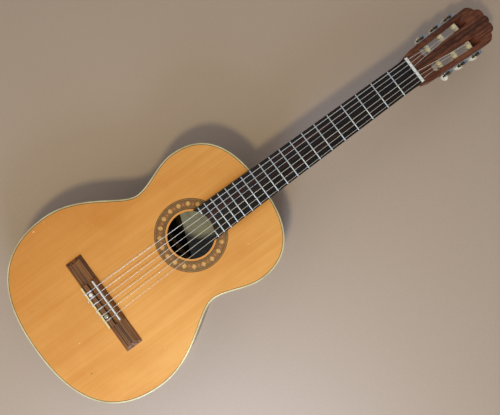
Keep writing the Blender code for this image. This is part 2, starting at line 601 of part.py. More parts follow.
def worm_mesh():
    """Right-handed single-start thread about Z on a shaft with two journals and the button's stem.

    The thread's ridge faces the gear, at -Y, on a level with the gear's axis.
    """
    steps = 10
    total = steps * WORM_TURNS
    mesh = bmesh.new()
    start = -WORM_PITCH * WORM_TURNS / 2
    phase = 2 * math.pi * (0.75 + WORM_TURNS / 2)  # angle of the thread's start

    def point(radius, step, z):
        angle = phase + 2 * math.pi * step / steps
        return mesh.verts.new((radius * math.cos(angle), radius * math.sin(angle), z))

    columns = ((WORM_CORE_R, -THREAD_ROOT_W / 2), (WORM_TIP_R, -THREAD_TIP_W / 2),
               (WORM_TIP_R, THREAD_TIP_W / 2), (WORM_CORE_R, THREAD_ROOT_W / 2))
    thread = []
    for step in range(total + 1):
        z = start + WORM_PITCH * step / steps
        thread.append([point(r, step, z + dz) for r, dz in columns])
    for a, b in zip(thread, thread[1:]):
        for k in range(3):
            mesh.faces.new((a[k], b[k], b[k + 1], a[k + 1]))
    for step in range(total - steps):
        a, b = thread[step], thread[step + 1]
        c, d = thread[step + steps], thread[step + steps + 1]
        mesh.faces.new((a[3], b[3], d[0], c[0]))
    mesh.faces.new(thread[0])
    mesh.faces.new(thread[-1])

    reach = EAR_IN - GAP
    low = [point(WORM_CORE_R, step, -reach) for step in range(steps)]
    high = [point(WORM_CORE_R, step, reach) for step in range(steps)]
    first, final, crest = thread[0], thread[-1], total - steps
    for i in range(steps - 1):
        mesh.faces.new((low[i], low[i + 1], thread[i + 1][0], thread[i][0]))
        j = (i + 2) % steps
        mesh.faces.new((high[i + 1], high[j], thread[crest + i + 2][3], thread[crest + i + 1][3]))
    mesh.faces.new((low[-1], low[0], first[0], first[3], thread[steps][0], thread[steps - 1][0]))
    mesh.faces.new((high[0], high[1], thread[crest + 1][3], thread[crest][3], final[0], final[3]))

    def cap(ring_verts, levels):
        """Carries the shaft on through (radius, z) pairs and closes its end."""
        for radius, z in levels:
            following = [point(radius, step, z) for step in range(steps)]
            for i in range(steps):
                j = (i + 1) % steps
                mesh.faces.new((ring_verts[i], ring_verts[j], following[j], following[i]))
            ring_verts = following
        mesh.faces.new(ring_verts)

    ear_out = EAR_IN + EAR_T + GAP
    cap(high, [(JOURNAL_R, reach), (JOURNAL_R, ear_out + 2 * GAP)])
    cap(low, [(JOURNAL_R, -reach), (JOURNAL_R, -ear_out), (STEM_R, -ear_out), (STEM_R, STEM_END)])
    return mesh


def button_mesh(turn):
    """Flattened oval knob hanging below the stem, turned to its rest angle."""
    steps = 12
    levels = 6
    sections = []
    top = STEM_END - GAP
    for level in range(levels + 1):
        share = level / levels
        swell = math.sin(math.pi * (0.12 + 0.80 * share)) ** 0.6
        half_w = max(BUTTON_NECK_R, BUTTON_HALF_W * swell) if level else BUTTON_NECK_R
        half_t = max(BUTTON_NECK_R * 0.8, BUTTON_HALF_T * swell) if level else BUTTON_NECK_R * 0.8
        angles = [2 * math.pi * i / steps for i in range(steps)]
        z = top - BUTTON_L * share
        sections.append([(half_w * math.cos(a), half_t * math.sin(a), z) for a in angles])
    mesh = loft(sections)
    bmesh.ops.transform(mesh, matrix=Matrix.Rotation(turn, 4, "Z"), verts=mesh.verts)
    return mesh


def string_seat(string):
    """Side of the head and place along it: strings 1 and 6 wind nearest the nut."""
    side = 1 if string <= 3 else -1
    place = (string if string <= 3 else 7 - string) - 2
    return side, place


def build_machines():
    for word, side in SIDES.items():
        build_machine_plate(word, side)
    for string in STRING_R:
        side, place = string_seat(string)
        frame = machine_frame(side, place)
        add_object(f"roller_{string}", roller_mesh(side), ROLLER_PLASTIC, frame)
        gear = add_object(f"gear_{string}", gear_mesh(side), BRASS, frame)
        seat = turned([(GEAR_SEAT_R + GAP, side * (WORM_A + end * GEAR_T)) for end in (-1, 1)], 12, "X")
        boolean(gear, helper(seat, frame), "DIFFERENCE")
        worm_frame = frame @ Matrix.Translation((side * WORM_A, CENTRE_DISTANCE, 0))
        add_object(f"worm_{string}", worm_mesh(), STEEL, worm_frame)
        turn = math.radians(side * BUTTON_TURN[string])
        add_object(f"button_{string}", button_mesh(turn), PEARL, worm_frame)


# ---------------------------------------------------------------- strings
def string_route(string):
    """From the loop on the tie block, through its hole, over saddle and nut, to the top of the roller."""
    r = STRING_R[string]
    lift = GAP + r
    x, nut_x = BRIDGE_X + across(string, SADDLE_SPREAD), across(string, NUT_SPREAD)
    rear = BRIDGE_REAR - 2 * GAP - r - 0.0003
    top, hole = BRIDGE_Z + TIE_H + GAP + lift, BRIDGE_Z + TIE_HOLE_Z
    crown, nut_z = SADDLE_TOP_Z + lift, NUT_TOP_Z + lift
    route = [(x, TIE_FRONT - 0.001, top), (x, BRIDGE_REAR + 0.0008, top), (x, rear + 0.0003, top - 0.0007),
             (x, rear, top - 0.0018), (x, rear, hole + 0.0014), (x, rear + 0.0004, hole + 0.0004),
             (x, rear + 0.0014, hole), (x, TIE_FRONT - 0.0008, hole), (x, TIE_FRONT + 0.0008, hole + 0.0007),
             (x, -0.0018, crown - 0.0009), (x, -0.0006, crown), (x, 0.0008, crown),
             (nut_x, SCALE + 0.0004, nut_z), (nut_x, SCALE + 0.0022, nut_z - 0.0001)]
    side, place = string_seat(string)
    lateral = -side * ROLLER_LATERAL[place + 1]
    frame = machine_frame(side, place)
    route.append(tuple(frame @ Vector((lateral, -0.0010, ROLLER_R + lift))))
    return route


def build_strings():
    for string, radius in STRING_R.items():
        data = bpy.data.curves.new(f"string_{string}", "CURVE")
        data.dimensions = "3D"
        data.bevel_depth = radius
        data.bevel_resolution = 1
        data.use_fill_caps = True
        data.materials.append(NYLON)
        route = string_route(string)
        spline = data.splines.new("POLY")
        spline.points.add(len(route) - 1)
        for point, place in zip(spline.points, route):
            point.co = (*place, 1)
        made = bpy.data.objects.new(f"string_{string}", data)
        bpy.context.scene.collection.objects.link(made)


build_plates()
build_edges()
build_blocks()
build_braces()
build_bridge()
build_fingerboard()
build_neck()
build_machines()
build_strings()
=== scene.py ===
import math

import bmesh
import bpy
from mathutils import Matrix, Vector


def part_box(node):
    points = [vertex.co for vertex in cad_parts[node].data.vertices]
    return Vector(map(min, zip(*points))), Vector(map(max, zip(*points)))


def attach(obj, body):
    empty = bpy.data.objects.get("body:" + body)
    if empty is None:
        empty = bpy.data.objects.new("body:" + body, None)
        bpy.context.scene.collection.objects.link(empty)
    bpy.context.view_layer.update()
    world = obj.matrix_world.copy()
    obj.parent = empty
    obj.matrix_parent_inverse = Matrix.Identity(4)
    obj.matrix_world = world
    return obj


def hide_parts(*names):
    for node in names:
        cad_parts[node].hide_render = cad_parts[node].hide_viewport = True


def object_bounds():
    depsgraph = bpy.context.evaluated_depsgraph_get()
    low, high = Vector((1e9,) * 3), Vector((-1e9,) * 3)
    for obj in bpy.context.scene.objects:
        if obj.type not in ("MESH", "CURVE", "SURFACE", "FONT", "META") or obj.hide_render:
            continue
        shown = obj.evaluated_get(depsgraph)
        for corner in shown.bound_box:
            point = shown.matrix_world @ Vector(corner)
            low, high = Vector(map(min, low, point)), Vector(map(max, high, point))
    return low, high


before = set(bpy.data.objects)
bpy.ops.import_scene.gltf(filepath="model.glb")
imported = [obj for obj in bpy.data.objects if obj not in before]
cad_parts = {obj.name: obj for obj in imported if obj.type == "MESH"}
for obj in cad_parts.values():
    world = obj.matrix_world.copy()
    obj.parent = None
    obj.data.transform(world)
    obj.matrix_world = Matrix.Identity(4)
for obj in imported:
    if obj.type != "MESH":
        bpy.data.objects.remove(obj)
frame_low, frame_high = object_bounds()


# Blocks, linings, bars and braces: the frame inside the box, in plain cedar and spruce. They are sawn,
# planed and glued to the back and soundboard before the box is closed, and no varnish reaches them.
# The bars are coloured darker than the braces: painted shade inside the closed box.
def shade(red, green, blue):
    """A colour on the painter's scale of 0 to 255, as the shaders reckon it."""
    parts = (c / 255 for c in (red, green, blue))
    return (*(((c + 0.055) / 1.055) ** 2.4 if c > 0.04 else c / 12.92 for c in parts), 1)


class Finish:
    """One finish. Its patterns are read in metres, in the guitar's own frame."""

    def __init__(self, name, colour, roughness, extra=None):
        self.material = bpy.data.materials.new(name)
        self.material.use_nodes = True
        self.nodes = self.material.node_tree.nodes
        self.links = self.material.node_tree.links
        self.shader = self.nodes["Principled BSDF"]
        self.here = self.nodes.new("ShaderNodeTexCoord").outputs["Object"]
        self.normal = None
        self.material.diffuse_color = colour
        for socket, value in {"Base Color": colour, "Roughness": roughness, **(extra or {})}.items():
            self.shader.inputs[socket].default_value = value

    def feed(self, socket, value):
        if isinstance(value, bpy.types.NodeSocket):
            self.links.new(value, socket)
        else:
            socket.default_value = value

    def node(self, kind, feeds, **settings):
        made = self.nodes.new("ShaderNode" + kind)
        for name, value in settings.items():
            setattr(made, name, value)
        for socket, value in feeds.items():
            self.feed(made.inputs[socket], value)
        return made

    def spread(self, x, y, z, place=None):
        """The frame with this many pattern units to the metre each way."""
        feeds = {0: place or self.here, 1: (x, y, z)}
        return self.node("VectorMath", feeds, operation="MULTIPLY").outputs[0]

    def cloud(self, place, detail=2.0, rough=0.5, warp=0.0):
        feeds = {"Vector": place, "Scale": 1.0, "Detail": detail, "Roughness": rough, "Distortion": warp}
        return self.node("TexNoise", feeds).outputs["Fac"]

    def sum(self, operation, a, b=0.0, c=0.0):
        return self.node("Math", {0: a, 1: b, 2: c}, operation=operation).outputs[0]

    def between(self, value, low, high, to_low=0.0, to_high=1.0):
        """The value's place between low and high, smoothed and kept inside."""
        feeds = {0: value, 1: low, 2: high, 3: to_low, 4: to_high}
        return self.node("MapRange", feeds, interpolation_type="SMOOTHSTEP").outputs[0]

    def ramp(self, value, *stops):
        made = self.node("ValToRGB", {"Fac": value})
        elements = made.color_ramp.elements
        while len(elements) < len(stops):
            elements.new(0.5)
        for element, (at, colour) in zip(elements, stops):
            element.position, element.color = at, colour
        return made.outputs["Color"]

    def mix(self, share, a, b, how="MIX"):
        return self.node("Mix", {0: share, 6: a, 7: b}, data_type="RGBA", blend_type=how).outputs[2]

    def colour(self, value):
        self.feed(self.shader.inputs["Base Color"], value)
        self.shown = value

    def rough(self, value):
        self.feed(self.shader.inputs["Roughness"], value)

    def relief(self, height, depth, strength=1.0):
        """Adds a pattern in relief, depth metres high, over those before it."""
        feeds = {"Height": height, "Distance": depth, "Strength": strength}
        if self.normal:
            feeds["Normal"] = self.normal
        self.normal = self.node("Bump", feeds).outputs[0]
        self.feed(self.shader.inputs["Normal"], self.normal)


GRAIN_WAYS = {"x": (0.012, 1, 1), "y": (1, 0.012, 1), "z": (1, 1, 0.012)}


def wood(name, dark, light, way, lines, roughness, extra=None, place=None, contrast=0.22, depth=0.00006):
    """Wood with its grain along one axis and this many growth lines to the metre."""
    made = Finish(name, light, roughness, extra)
    line = made.cloud(made.spread(*(lines * share for share in GRAIN_WAYS[way]), place=place), 3, 0.55, 0.15)
    broad = made.cloud(made.spread(*(lines * 0.09 * share for share in GRAIN_WAYS[way]), place=place), 2)
    mottle = made.cloud(made.spread(14, 14, 14, place), 2, 0.5)
    mixed = made.sum("MULTIPLY_ADD", broad, 0.45, made.sum("MULTIPLY", line, 0.55))
    tone = made.ramp(made.between(mixed, 0.5 - contrast, 0.5 + contrast), (0, dark), (1, light))
    made.colour(made.mix(made.between(mottle, 0.35, 0.75, 0, 0.22), tone, dark))
    made.rough(made.between(line, 0.3, 0.7, roughness + 0.06, roughness - 0.04))
    pores = tuple(lines * 3.2 * (0.02 if share < 1 else 1) for share in GRAIN_WAYS[way])
    made.relief(made.cloud(made.spread(*pores, place=place), 2), depth)
    return made


def dress(node, finish):
    """Gives a part of the frame its own finish."""
    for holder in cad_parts[node].material_slots:
        holder.material = finish.material


CEDAR_DARK, CEDAR_LIGHT = shade(150, 106, 66), shade(205, 168, 120)
SPRUCE_DARK, SPRUCE_LIGHT = shade(186, 150, 98), shade(222, 192, 142)
upright_cedar = wood("block_cedar", CEDAR_DARK, CEDAR_LIGHT, "z", 420, 0.78)
bent_cedar = wood("lining_cedar", CEDAR_DARK, CEDAR_LIGHT, "z", 240, 0.8)
# Painted shade: the bars' spruce is coloured darker than the braces', standing for the shade inside the box.
cross_spruce_in_painted_shade = wood("bar_spruce_painted_shade", shade(112, 76, 42), shade(150, 110, 66), "x", 700, 0.75)
long_spruce = wood("brace_spruce", SPRUCE_DARK, SPRUCE_LIGHT, "y", 700, 0.75)
for finish, nodes in (
    (upright_cedar, ("tail_block", "neck_block")),
    (bent_cedar, ("top_lining_bass", "top_lining_treble", "back_lining_bass", "back_lining_treble")),
    (cross_spruce_in_painted_shade, ("back_bar_1", "back_bar_2", "back_bar_3", "harmonic_bar_lower", "harmonic_bar_upper")),
    (long_spruce, ("fan_brace_1", "fan_brace_2", "fan_brace_3")),
):
    for node in nodes:
        dress(node, finish)


# Soundboard: two bookmatched leaves of spruce, jointed down the middle and thinned to 2.5 mm, with the
# sound hole cut after the rosette is let in. Varnished, gone amber with age, with a few small knocks.
TOP_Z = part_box("soundboard")[1].z
PLATE_T = TOP_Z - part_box("soundboard")[0].z
TAIL_Y, BODY_TOP_Y = -0.1512, 0.327
LOWER_Y, LOWER_HALF = -0.0104, 0.1762
WAIST_Y, WAIST_HALF = 0.1459, 0.1107
UPPER_Y, UPPER_HALF = 0.2345, 0.1327
BODY_CURVES = (
    ((0, TAIL_Y), (0.079, TAIL_Y), (LOWER_HALF, LOWER_Y - 0.122), (LOWER_HALF, LOWER_Y)),
    ((LOWER_HALF, LOWER_Y), (LOWER_HALF, LOWER_Y + 0.076), (WAIST_HALF, WAIST_Y - 0.032),
     (WAIST_HALF, WAIST_Y)),
    ((WAIST_HALF, WAIST_Y), (WAIST_HALF, WAIST_Y + 0.027), (UPPER_HALF, UPPER_Y - 0.033),
     (UPPER_HALF, UPPER_Y)),
    ((UPPER_HALF, UPPER_Y), (UPPER_HALF, UPPER_Y + 0.102), (0.012, BODY_TOP_Y), (0, BODY_TOP_Y)),
)
CURVE_STEPS = 22
BINDING_W, PURFLING_W = 0.0025, 0.0009
HOLE_Y, HOLE_R = 0.1795, 0.0411
ROSETTE_IN, ROSETTE_OUT, ROSETTE_T = 0.0445, 0.0637, 0.0009
KNOCKS = (  # across, along, radius, and 1 for a pale one or 0 for a dark one
    (-0.1655, -0.036, 0.0016, 1), (-0.1690, -0.012, 0.0010, 1), (0.0890, -0.096, 0.0012, 0),
    (0.0360, -0.083, 0.0010, 1), (0.0213, 0.0149, 0.0016, 1), (0.0258, 0.0219, 0.0010, 1),
    (0.0700, 0.249, 0.0011, 1), (-0.0560, -0.118, 0.0009, 0), (0.1290, 0.030, 0.0009, 1),
)


def half_outline(inset, steps=CURVE_STEPS):
    """The treble half of the body's outline, from the tail to the neck, moved in by inset."""
    points = []
    for a, b, c, d in BODY_CURVES:
        for i in range(steps + (d[0] == 0)):
            t = i / steps
            u = 1 - t
            x, y = (u**3 * p + 3 * u * u * t * q + 3 * u * t * t * r + t**3 * s
                    for p, q, r, s in zip(a, b, c, d))
            way = Vector([u * u * (q - p) + 2 * u * t * (r - q) + t * t * (s - r)
                          for p, q, r, s in zip(a, b, c, d)]).normalized()
            points.append((x - way.y * inset, y + way.x * inset))
    return points


def outline(inset, steps=CURVE_STEPS):
    half = half_outline(inset, steps)
    return half + [(-x, y) for x, y in reversed(half[1:-1])]


def circle(radius, steps, start=0.0):
    turns = [start + 2 * math.pi * i / steps for i in range(steps)]
    return [(radius * math.cos(a), radius * math.sin(a)) for a in turns]


def skin(sections, mesh=None, looped=False):
    """Faces through closed sections of equal numbers of points. looped joins the last to the first."""
    mesh = mesh or bmesh.new()
    rows = [[mesh.verts.new(p) for p in section] for section in sections]
    count = len(rows[0])
    for low, high in zip(rows, rows[1:] + (rows[:1] if looped else [])):
        for i in range(count):
            j = (i + 1) % count
            mesh.faces.new((low[i], low[j], high[j], high[i]))
    if not looped:
        mesh.faces.new(reversed(rows[0]))
        mesh.faces.new(rows[-1])
    return mesh


def plank(points, low, high, mesh=None):
    """An outline in X and Y, carried from low to high."""
    return skin([[(x, y, z) for x, y in points] for z in (low, high)], mesh)


def lathe(profile, steps=32, along="Z", mesh=None):
    """A turned shape from (radius, position) pairs, closed by flat ends."""
    def at(x, y, z):
        return {"X": (z, x, y), "Y": (y, z, x), "Z": (x, y, z)}[along]
    return skin([[at(x, y, z) for x, y in circle(r, steps)] for r, z in profile], mesh)


def shape(name, mesh, *finishes, place=None, soft=0.0, crease=35):
    """A named piece from a mesh. soft rounds its sharp edges; place is where the mesh's frame stands."""
    bmesh.ops.recalc_face_normals(mesh, faces=mesh.faces)
    data = bpy.data.meshes.new(name)
    mesh.to_mesh(data)
    mesh.free()
    if place:
        data.transform(place)
    for finish in finishes:
        data.materials.append(finish.material)
    piece = bpy.data.objects.new(name, data)
    bpy.context.scene.collection.objects.link(piece)
    settle(piece, soft, crease)
    return piece


def settle(piece, soft=0.0, crease=35):
    """Smooths the shading up to an angle, and rounds sharper edges by soft metres."""
    piece.data.shade_smooth()
    if soft:
        rounded = piece.modifiers.new("rounded_edges", "BEVEL")
        rounded.width, rounded.segments, rounded.harden_normals = soft, 2, True
        rounded.limit_method, rounded.angle_limit = "ANGLE", math.radians(crease)
    else:
        piece.data.set_sharp_from_angle(angle=math.radians(crease))


def carve(piece, *tools, joining=False, soft=0.0, crease=35):
    """Cuts the tools, which are meshes in the guitar's frame, out of the piece, or joins them to it."""
    piece.modifiers.clear()
    cutters = []
    for mesh in tools:
        cutters.append(shape("cutter", mesh))
        cut = piece.modifiers.new("cut", "BOOLEAN")
        cut.operation = "UNION" if joining else "DIFFERENCE"
        cut.solver, cut.object = "EXACT", cutters[-1]
    graph = bpy.context.evaluated_depsgraph_get()
    worked = bpy.data.meshes.new_from_object(piece.evaluated_get(graph))
    piece.modifiers.clear()
    rough_data, piece.data = piece.data, worked
    bpy.data.meshes.remove(rough_data)
    worked.name = piece.name
    for cutter in cutters:
        bpy.data.objects.remove(cutter)
    settle(piece, soft, crease)


def moved(mesh, place):
    bmesh.ops.transform(mesh, matrix=place, verts=mesh.verts)
    return mesh


def bookmatched(finish):
    """The frame folded on the centre line, so that two leaves mirror each other."""
    split = finish.node("SeparateXYZ", {0: finish.here}).outputs
    across = finish.sum("ABSOLUTE", split[0])
    return finish.node("CombineXYZ", {0: across, 1: split[1], 2: split[2]}).outputs[0], split


AMBER_DEEP, AMBER, AMBER_PALE = shade(194, 121, 46), shade(222, 156, 76), shade(234, 178, 104)
top_wood = Finish("varnished_spruce", AMBER, 0.5,
                  {"Specular IOR Level": 0.3, "Coat Weight": 0.05, "Coat Roughness": 0.2})
folded, split = bookmatched(top_wood)
ring_line = top_wood.cloud(top_wood.spread(620, 5, 1, folded), 3, 0.6, 0.1)
ring_band = top_wood.cloud(top_wood.spread(60, 2.5, 1, folded), 3, 0.6)
silk = top_wood.cloud(top_wood.spread(50, 260, 1, folded), 2, 0.5, 0.8)
ageing = top_wood.cloud(top_wood.spread(7, 5, 1), 3, 0.55)
tone = top_wood.ramp(top_wood.between(ring_line, 0.25, 0.75), (0, shade(213, 147, 70)),
                     (1, shade(226, 162, 84)))
tone = top_wood.mix(top_wood.between(ring_band, 0.3, 0.7, 0.0, 0.45), tone, AMBER_PALE)
tone = top_wood.mix(top_wood.between(ageing, 0.42, 0.72, 0.0, 0.5), tone, AMBER_DEEP)
bass_leaf = top_wood.between(split[0], -0.0004, 0.0004, 0.10, 0.0)
tone = top_wood.mix(bass_leaf, tone, AMBER_DEEP)
# Deeper amber towards the bass side and the tail of the soundboard.
bass_tail_deepening = top_wood.sum("MULTIPLY_ADD", split[0], -1.1, top_wood.sum("MULTIPLY", split[1], -0.5))
tone = top_wood.mix(top_wood.between(bass_tail_deepening, -0.05, 0.25, 0.0, 0.5), tone, AMBER_DEEP)
tone = top_wood.mix(top_wood.between(silk, 0.5, 0.8, 0.0, 0.12), tone, AMBER_PALE)
dent = None
for across, along, size, pale in KNOCKS:
    reach = top_wood.node("VectorMath", {0: top_wood.spread(1, 0.6, 0), 1: (across, along * 0.6, 0)},
                          operation="DISTANCE").outputs["Value"]
    knock = top_wood.between(reach, size * 0.3, size, 0.8, 0.0)
    tone = top_wood.mix(knock, tone, shade(246, 222, 180) if pale else shade(96, 54, 24))
    dent = knock if dent is None else top_wood.sum("MAXIMUM", dent, knock)
top_wood.colour(tone)
haze = top_wood.cloud(top_wood.spread(40, 40, 1), 4, 0.6)
top_wood.rough(top_wood.between(haze, 0.3, 0.8, 0.42, 0.56))
top_wood.relief(ring_line, 0.00002)
top_wood.relief(top_wood.cloud(top_wood.spread(16, 9, 1), 2), 0.0006, 0.35)
top_wood.relief(dent, -0.0004)

soundboard = shape("soundboard_leaves", plank(outline(BINDING_W + PURFLING_W), TOP_Z - PLATE_T, TOP_Z),
                   top_wood)
at_hole = Matrix.Translation((0, HOLE_Y, TOP_Z))
hole_cutter = moved(lathe([(HOLE_R, -0.01), (HOLE_R, 0.01)], 96), at_hole)
groove = skin([[(x, y, z) for x, y in circle(r, 96)] for r, z in (
    (ROSETTE_IN, -ROSETTE_T), (ROSETTE_OUT, -ROSETTE_T), (ROSETTE_OUT, 0.003), (ROSETTE_IN, 0.003))],
              looped=True)
carve(soundboard, hole_cutter, moved(groove, at_hole))
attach(soundboard, "guitar")
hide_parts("soundboard")


# Rosette: a mosaic of dyed veneer sticks, glued up as a log, sliced into tiles and set round the sound
# hole between rope borders and veneer rings, then levelled with the soundboard and varnished over.
MOTIFS = 20
DYES = {
    "b": shade(124, 62, 32), "k": shade(30, 23, 20), "c": shade(176, 146, 96), "o": shade(190, 120, 62),
    "y": shade(202, 158, 86), "w": shade(216, 180, 114), "r": shade(170, 96, 58), "g": shade(104, 88, 58),
    "n": shade(138, 99, 62),
}
FLOWER = (  # one repeat of the wide band, from the hole outwards
    "nnnngngnnnnnnngngnnn",
    "ngnnnyynnngnnnnrrnnn",
    "nnnnyooynnnnnnrggrnn",
    "nnnyowwoynnngrgccgrg",
    "nnyowwwwoynnrgcrrcgr",
    "nyowwccwwoynrgcrrcgr",
    "nyowwccwwoyngrgccgrg",
    "nnyowwwwoynnnnrggrnn",
    "nnnyowwoynnngnnrrnnn",
    "nnnnyooynnnnnnnnnnng",
    "ngnnnyynnngnnngngnnn",
    "nnnngngnnnnnnnnnnnnn",
)
ROPE = "kc" * 10
RINGS = (  # width and tiles of each ring, from the hole outwards
    (0.0011, "b" * 20), (0.0004, "k" * 20), (0.0009, ROPE), (0.0009, ROPE[::-1]), (0.0005, "k" * 20),
    *((0.00095, row) for row in FLOWER),
    (0.0005, "k" * 20), (0.0009, ROPE), (0.0009, ROPE[::-1]), (0.0003, "c" * 20), (0.0013, "b" * 20),
)
veneers = {}
for letter, dye in DYES.items():
    veneer = Finish(f"veneer_{letter}", dye, 0.45, {"Specular IOR Level": 0.3, "Coat Weight": 0.05})
    fibre = veneer.cloud(veneer.spread(900, 900, 900), 3, 0.6)
    paler = tuple(min(1, c * 1.25) for c in dye[:3]) + (1,)
    deeper = tuple(c * 0.75 for c in dye[:3]) + (1,)
    veneer.colour(veneer.ramp(veneer.between(fibre, 0.3, 0.7), (0, deeper), (1, paler)))
    veneer.rough(veneer.between(fibre, 0.3, 0.7, 0.30, 0.42))
    veneer.relief(fibre, 0.00003)
    veneers[letter] = veneer

mosaic = bmesh.new()
columns = MOTIFS * len(ROPE)
across = ROSETTE_OUT - ROSETTE_IN
scale = across / sum(width for width, _ in RINGS)
radii = [ROSETTE_IN + scale * sum(width for width, _ in RINGS[:i]) for i in range(len(RINGS) + 1)]
tile_rows = [[mosaic.verts.new((x, y, 0)) for x, y in circle(r, columns)] for r in radii]
letters = list(DYES)
for i, (_, tiles) in enumerate(RINGS):
    for column in range(columns):
        after = (column + 1) % columns
        tile = mosaic.faces.new((tile_rows[i][column], tile_rows[i + 1][column], tile_rows[i + 1][after],
                                 tile_rows[i][after]))
        tile.material_index = letters.index(tiles[column % len(tiles)])
inner_foot, outer_foot = ([mosaic.verts.new((x, y, -ROSETTE_T)) for x, y in circle(r, columns)]
                          for r in (ROSETTE_IN, ROSETTE_OUT))
for a, b in ((tile_rows[-1], outer_foot), (outer_foot, inner_foot), (inner_foot, tile_rows[0])):
    for column in range(columns):
        after = (column + 1) % columns
        mosaic.faces.new((a[column], b[column], b[after], a[after]))
rosette = shape("rosette_mosaic", mosaic, *veneers.values(), place=at_hole)
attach(rosette, "guitar")
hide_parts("rosette")


# Sides: two ribs of rosewood 2 mm thick, bent over a hot iron, meeting at the tail and under the heel.
# They stand between the two bindings, varnished outside and bare inside.
SIDE_T, BINDING_H, SEAM = 0.0020, 0.0060, 0.00015
rib_wood = wood("rib_rosewood", shade(52, 26, 16), shade(116, 64, 38), "x", 330, 0.32,
                {"Coat Weight": 0.5, "Coat Roughness": 0.12}, contrast=0.26)
streak = rib_wood.cloud(rib_wood.spread(2, 2, 190), 3, 0.6, 0.3)
rib_wood.colour(rib_wood.mix(rib_wood.between(streak, 0.52, 0.66, 0, 0.75), rib_wood.shown,
                             shade(34, 18, 12)))
for word, side in (("bass", -1), ("treble", 1)):
    ribs = [[(side * max(x, SEAM), y, z) for x, y in half_outline(inset)] for inset, z in (
        (0, BINDING_H), (0, TOP_Z - BINDING_H), (SIDE_T, TOP_Z - BINDING_H), (SIDE_T, BINDING_H))]
    rib = shape(f"rib_{word}", skin(list(zip(*ribs))), rib_wood)
    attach(rib, "guitar")
    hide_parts(f"side_{word}")


# Back: two bookmatched leaves of rosewood with a narrow maple line let in down the joint. The inner
# face carries a pale veneer, coloured near-black here as painted shade inside the closed box, and a
# cross-grained strip covers the joint between the bars.
JOINT_HALF = 0.0011
back_wood = Finish("back_rosewood", shade(110, 60, 36), 0.3, {"Coat Weight": 0.5, "Coat Roughness": 0.12})
folded, split = bookmatched(back_wood)
figure = back_wood.cloud(back_wood.spread(46, 2.6, 1, folded), 4, 0.55, 0.9)
line = back_wood.cloud(back_wood.spread(520, 7, 1, folded), 3, 0.6)
tone = back_wood.ramp(back_wood.between(figure, 0.25, 0.75), (0, shade(44, 22, 14)), (0.5, shade(98, 52, 31)),
                      (1, shade(134, 80, 50)))
tone = back_wood.mix(back_wood.between(line, 0.45, 0.75, 0, 0.55), tone, shade(46, 24, 15))
back_wood.colour(tone)
back_wood.rough(back_wood.between(line, 0.3, 0.7, 0.26, 0.4))
back_wood.relief(back_wood.cloud(back_wood.spread(1500, 30, 1, folded), 2), 0.00005)
# Painted shade: the pale inner veneer is coloured near-black, standing for the shade inside the box.
inner_veneer_painted_shade = wood("inner_veneer_painted_shade", shade(30, 24, 18), shade(54, 42, 32), "y", 380, 0.8)
back = shape("back_leaves", plank(outline(BINDING_W), 0.00006, PLATE_T), back_wood, inner_veneer_painted_shade)
for face in back.data.polygons:
    face.material_index = int(face.center.z > PLATE_T * 0.9)
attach(back, "guitar")
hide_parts("back_plate")

maple = wood("joint_maple", shade(190, 150, 92), shade(222, 188, 132), "y", 900, 0.34, {"Coat Weight": 0.5})
back_low, back_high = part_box("back_plate")
joint = shape("back_joint_line", plank([(-JOINT_HALF, back_low.y), (JOINT_HALF, back_low.y),
                                        (JOINT_HALF, back_high.y), (-JOINT_HALF, back_high.y)],
                                       0.00002, 0.0008), maple)
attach(joint, "guitar")


# Label: a slip of plain laid paper pasted a little askew to the back under the sound hole, gone cream
# with age. It carries no print, only a ruled border.
LABEL_HALF, LABEL_END, LABEL_T, LABEL_TURN = 0.055, 0.040, 0.00025, math.radians(-20.3)
at_label = Matrix.Translation((-0.0073, 0.1594, PLATE_T + 0.00005)) @ Matrix.Rotation(LABEL_TURN, 4, "Z")
at_label = at_label @ Matrix.Translation((0, LABEL_END, 0))
paper = Finish("aged_paper", shade(192, 200, 206), 0.85, {"Specular IOR Level": 0.2})
fibre = paper.cloud(paper.spread(500, 1600, 1), 3, 0.7)
tone = paper.ramp(paper.between(fibre, 0.2, 0.8), (0, shade(182, 192, 200)), (1, shade(200, 208, 214)))
foxing = paper.cloud(paper.spread(60, 60, 1), 3, 0.6)
tone = paper.mix(paper.between(foxing, 0.5, 0.78, 0, 0.5), tone, shade(120, 112, 96))
split = paper.node("SeparateXYZ", {0: paper.here}).outputs
from_side = paper.sum("SUBTRACT", LABEL_HALF, paper.sum("ABSOLUTE", split[0]))
from_end = paper.sum("SUBTRACT", LABEL_END, paper.sum("ABSOLUTE", split[1]))
from_edge = paper.sum("MINIMUM", from_side, from_end)
rule = paper.sum("LESS_THAN", paper.sum("ABSOLUTE", paper.sum("SUBTRACT", from_edge, 0.0035)), 0.00035)
paper.colour(paper.mix(rule, tone, shade(120, 108, 92)))
paper.relief(fibre, 0.00006)
label = shape("paper_label",
              plank([(-LABEL_HALF, -LABEL_END), (LABEL_HALF, -LABEL_END), (LABEL_HALF, LABEL_END),
                                    (-LABEL_HALF, LABEL_END)], 0, LABEL_T), paper, place=at_label)
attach(label, "guitar")


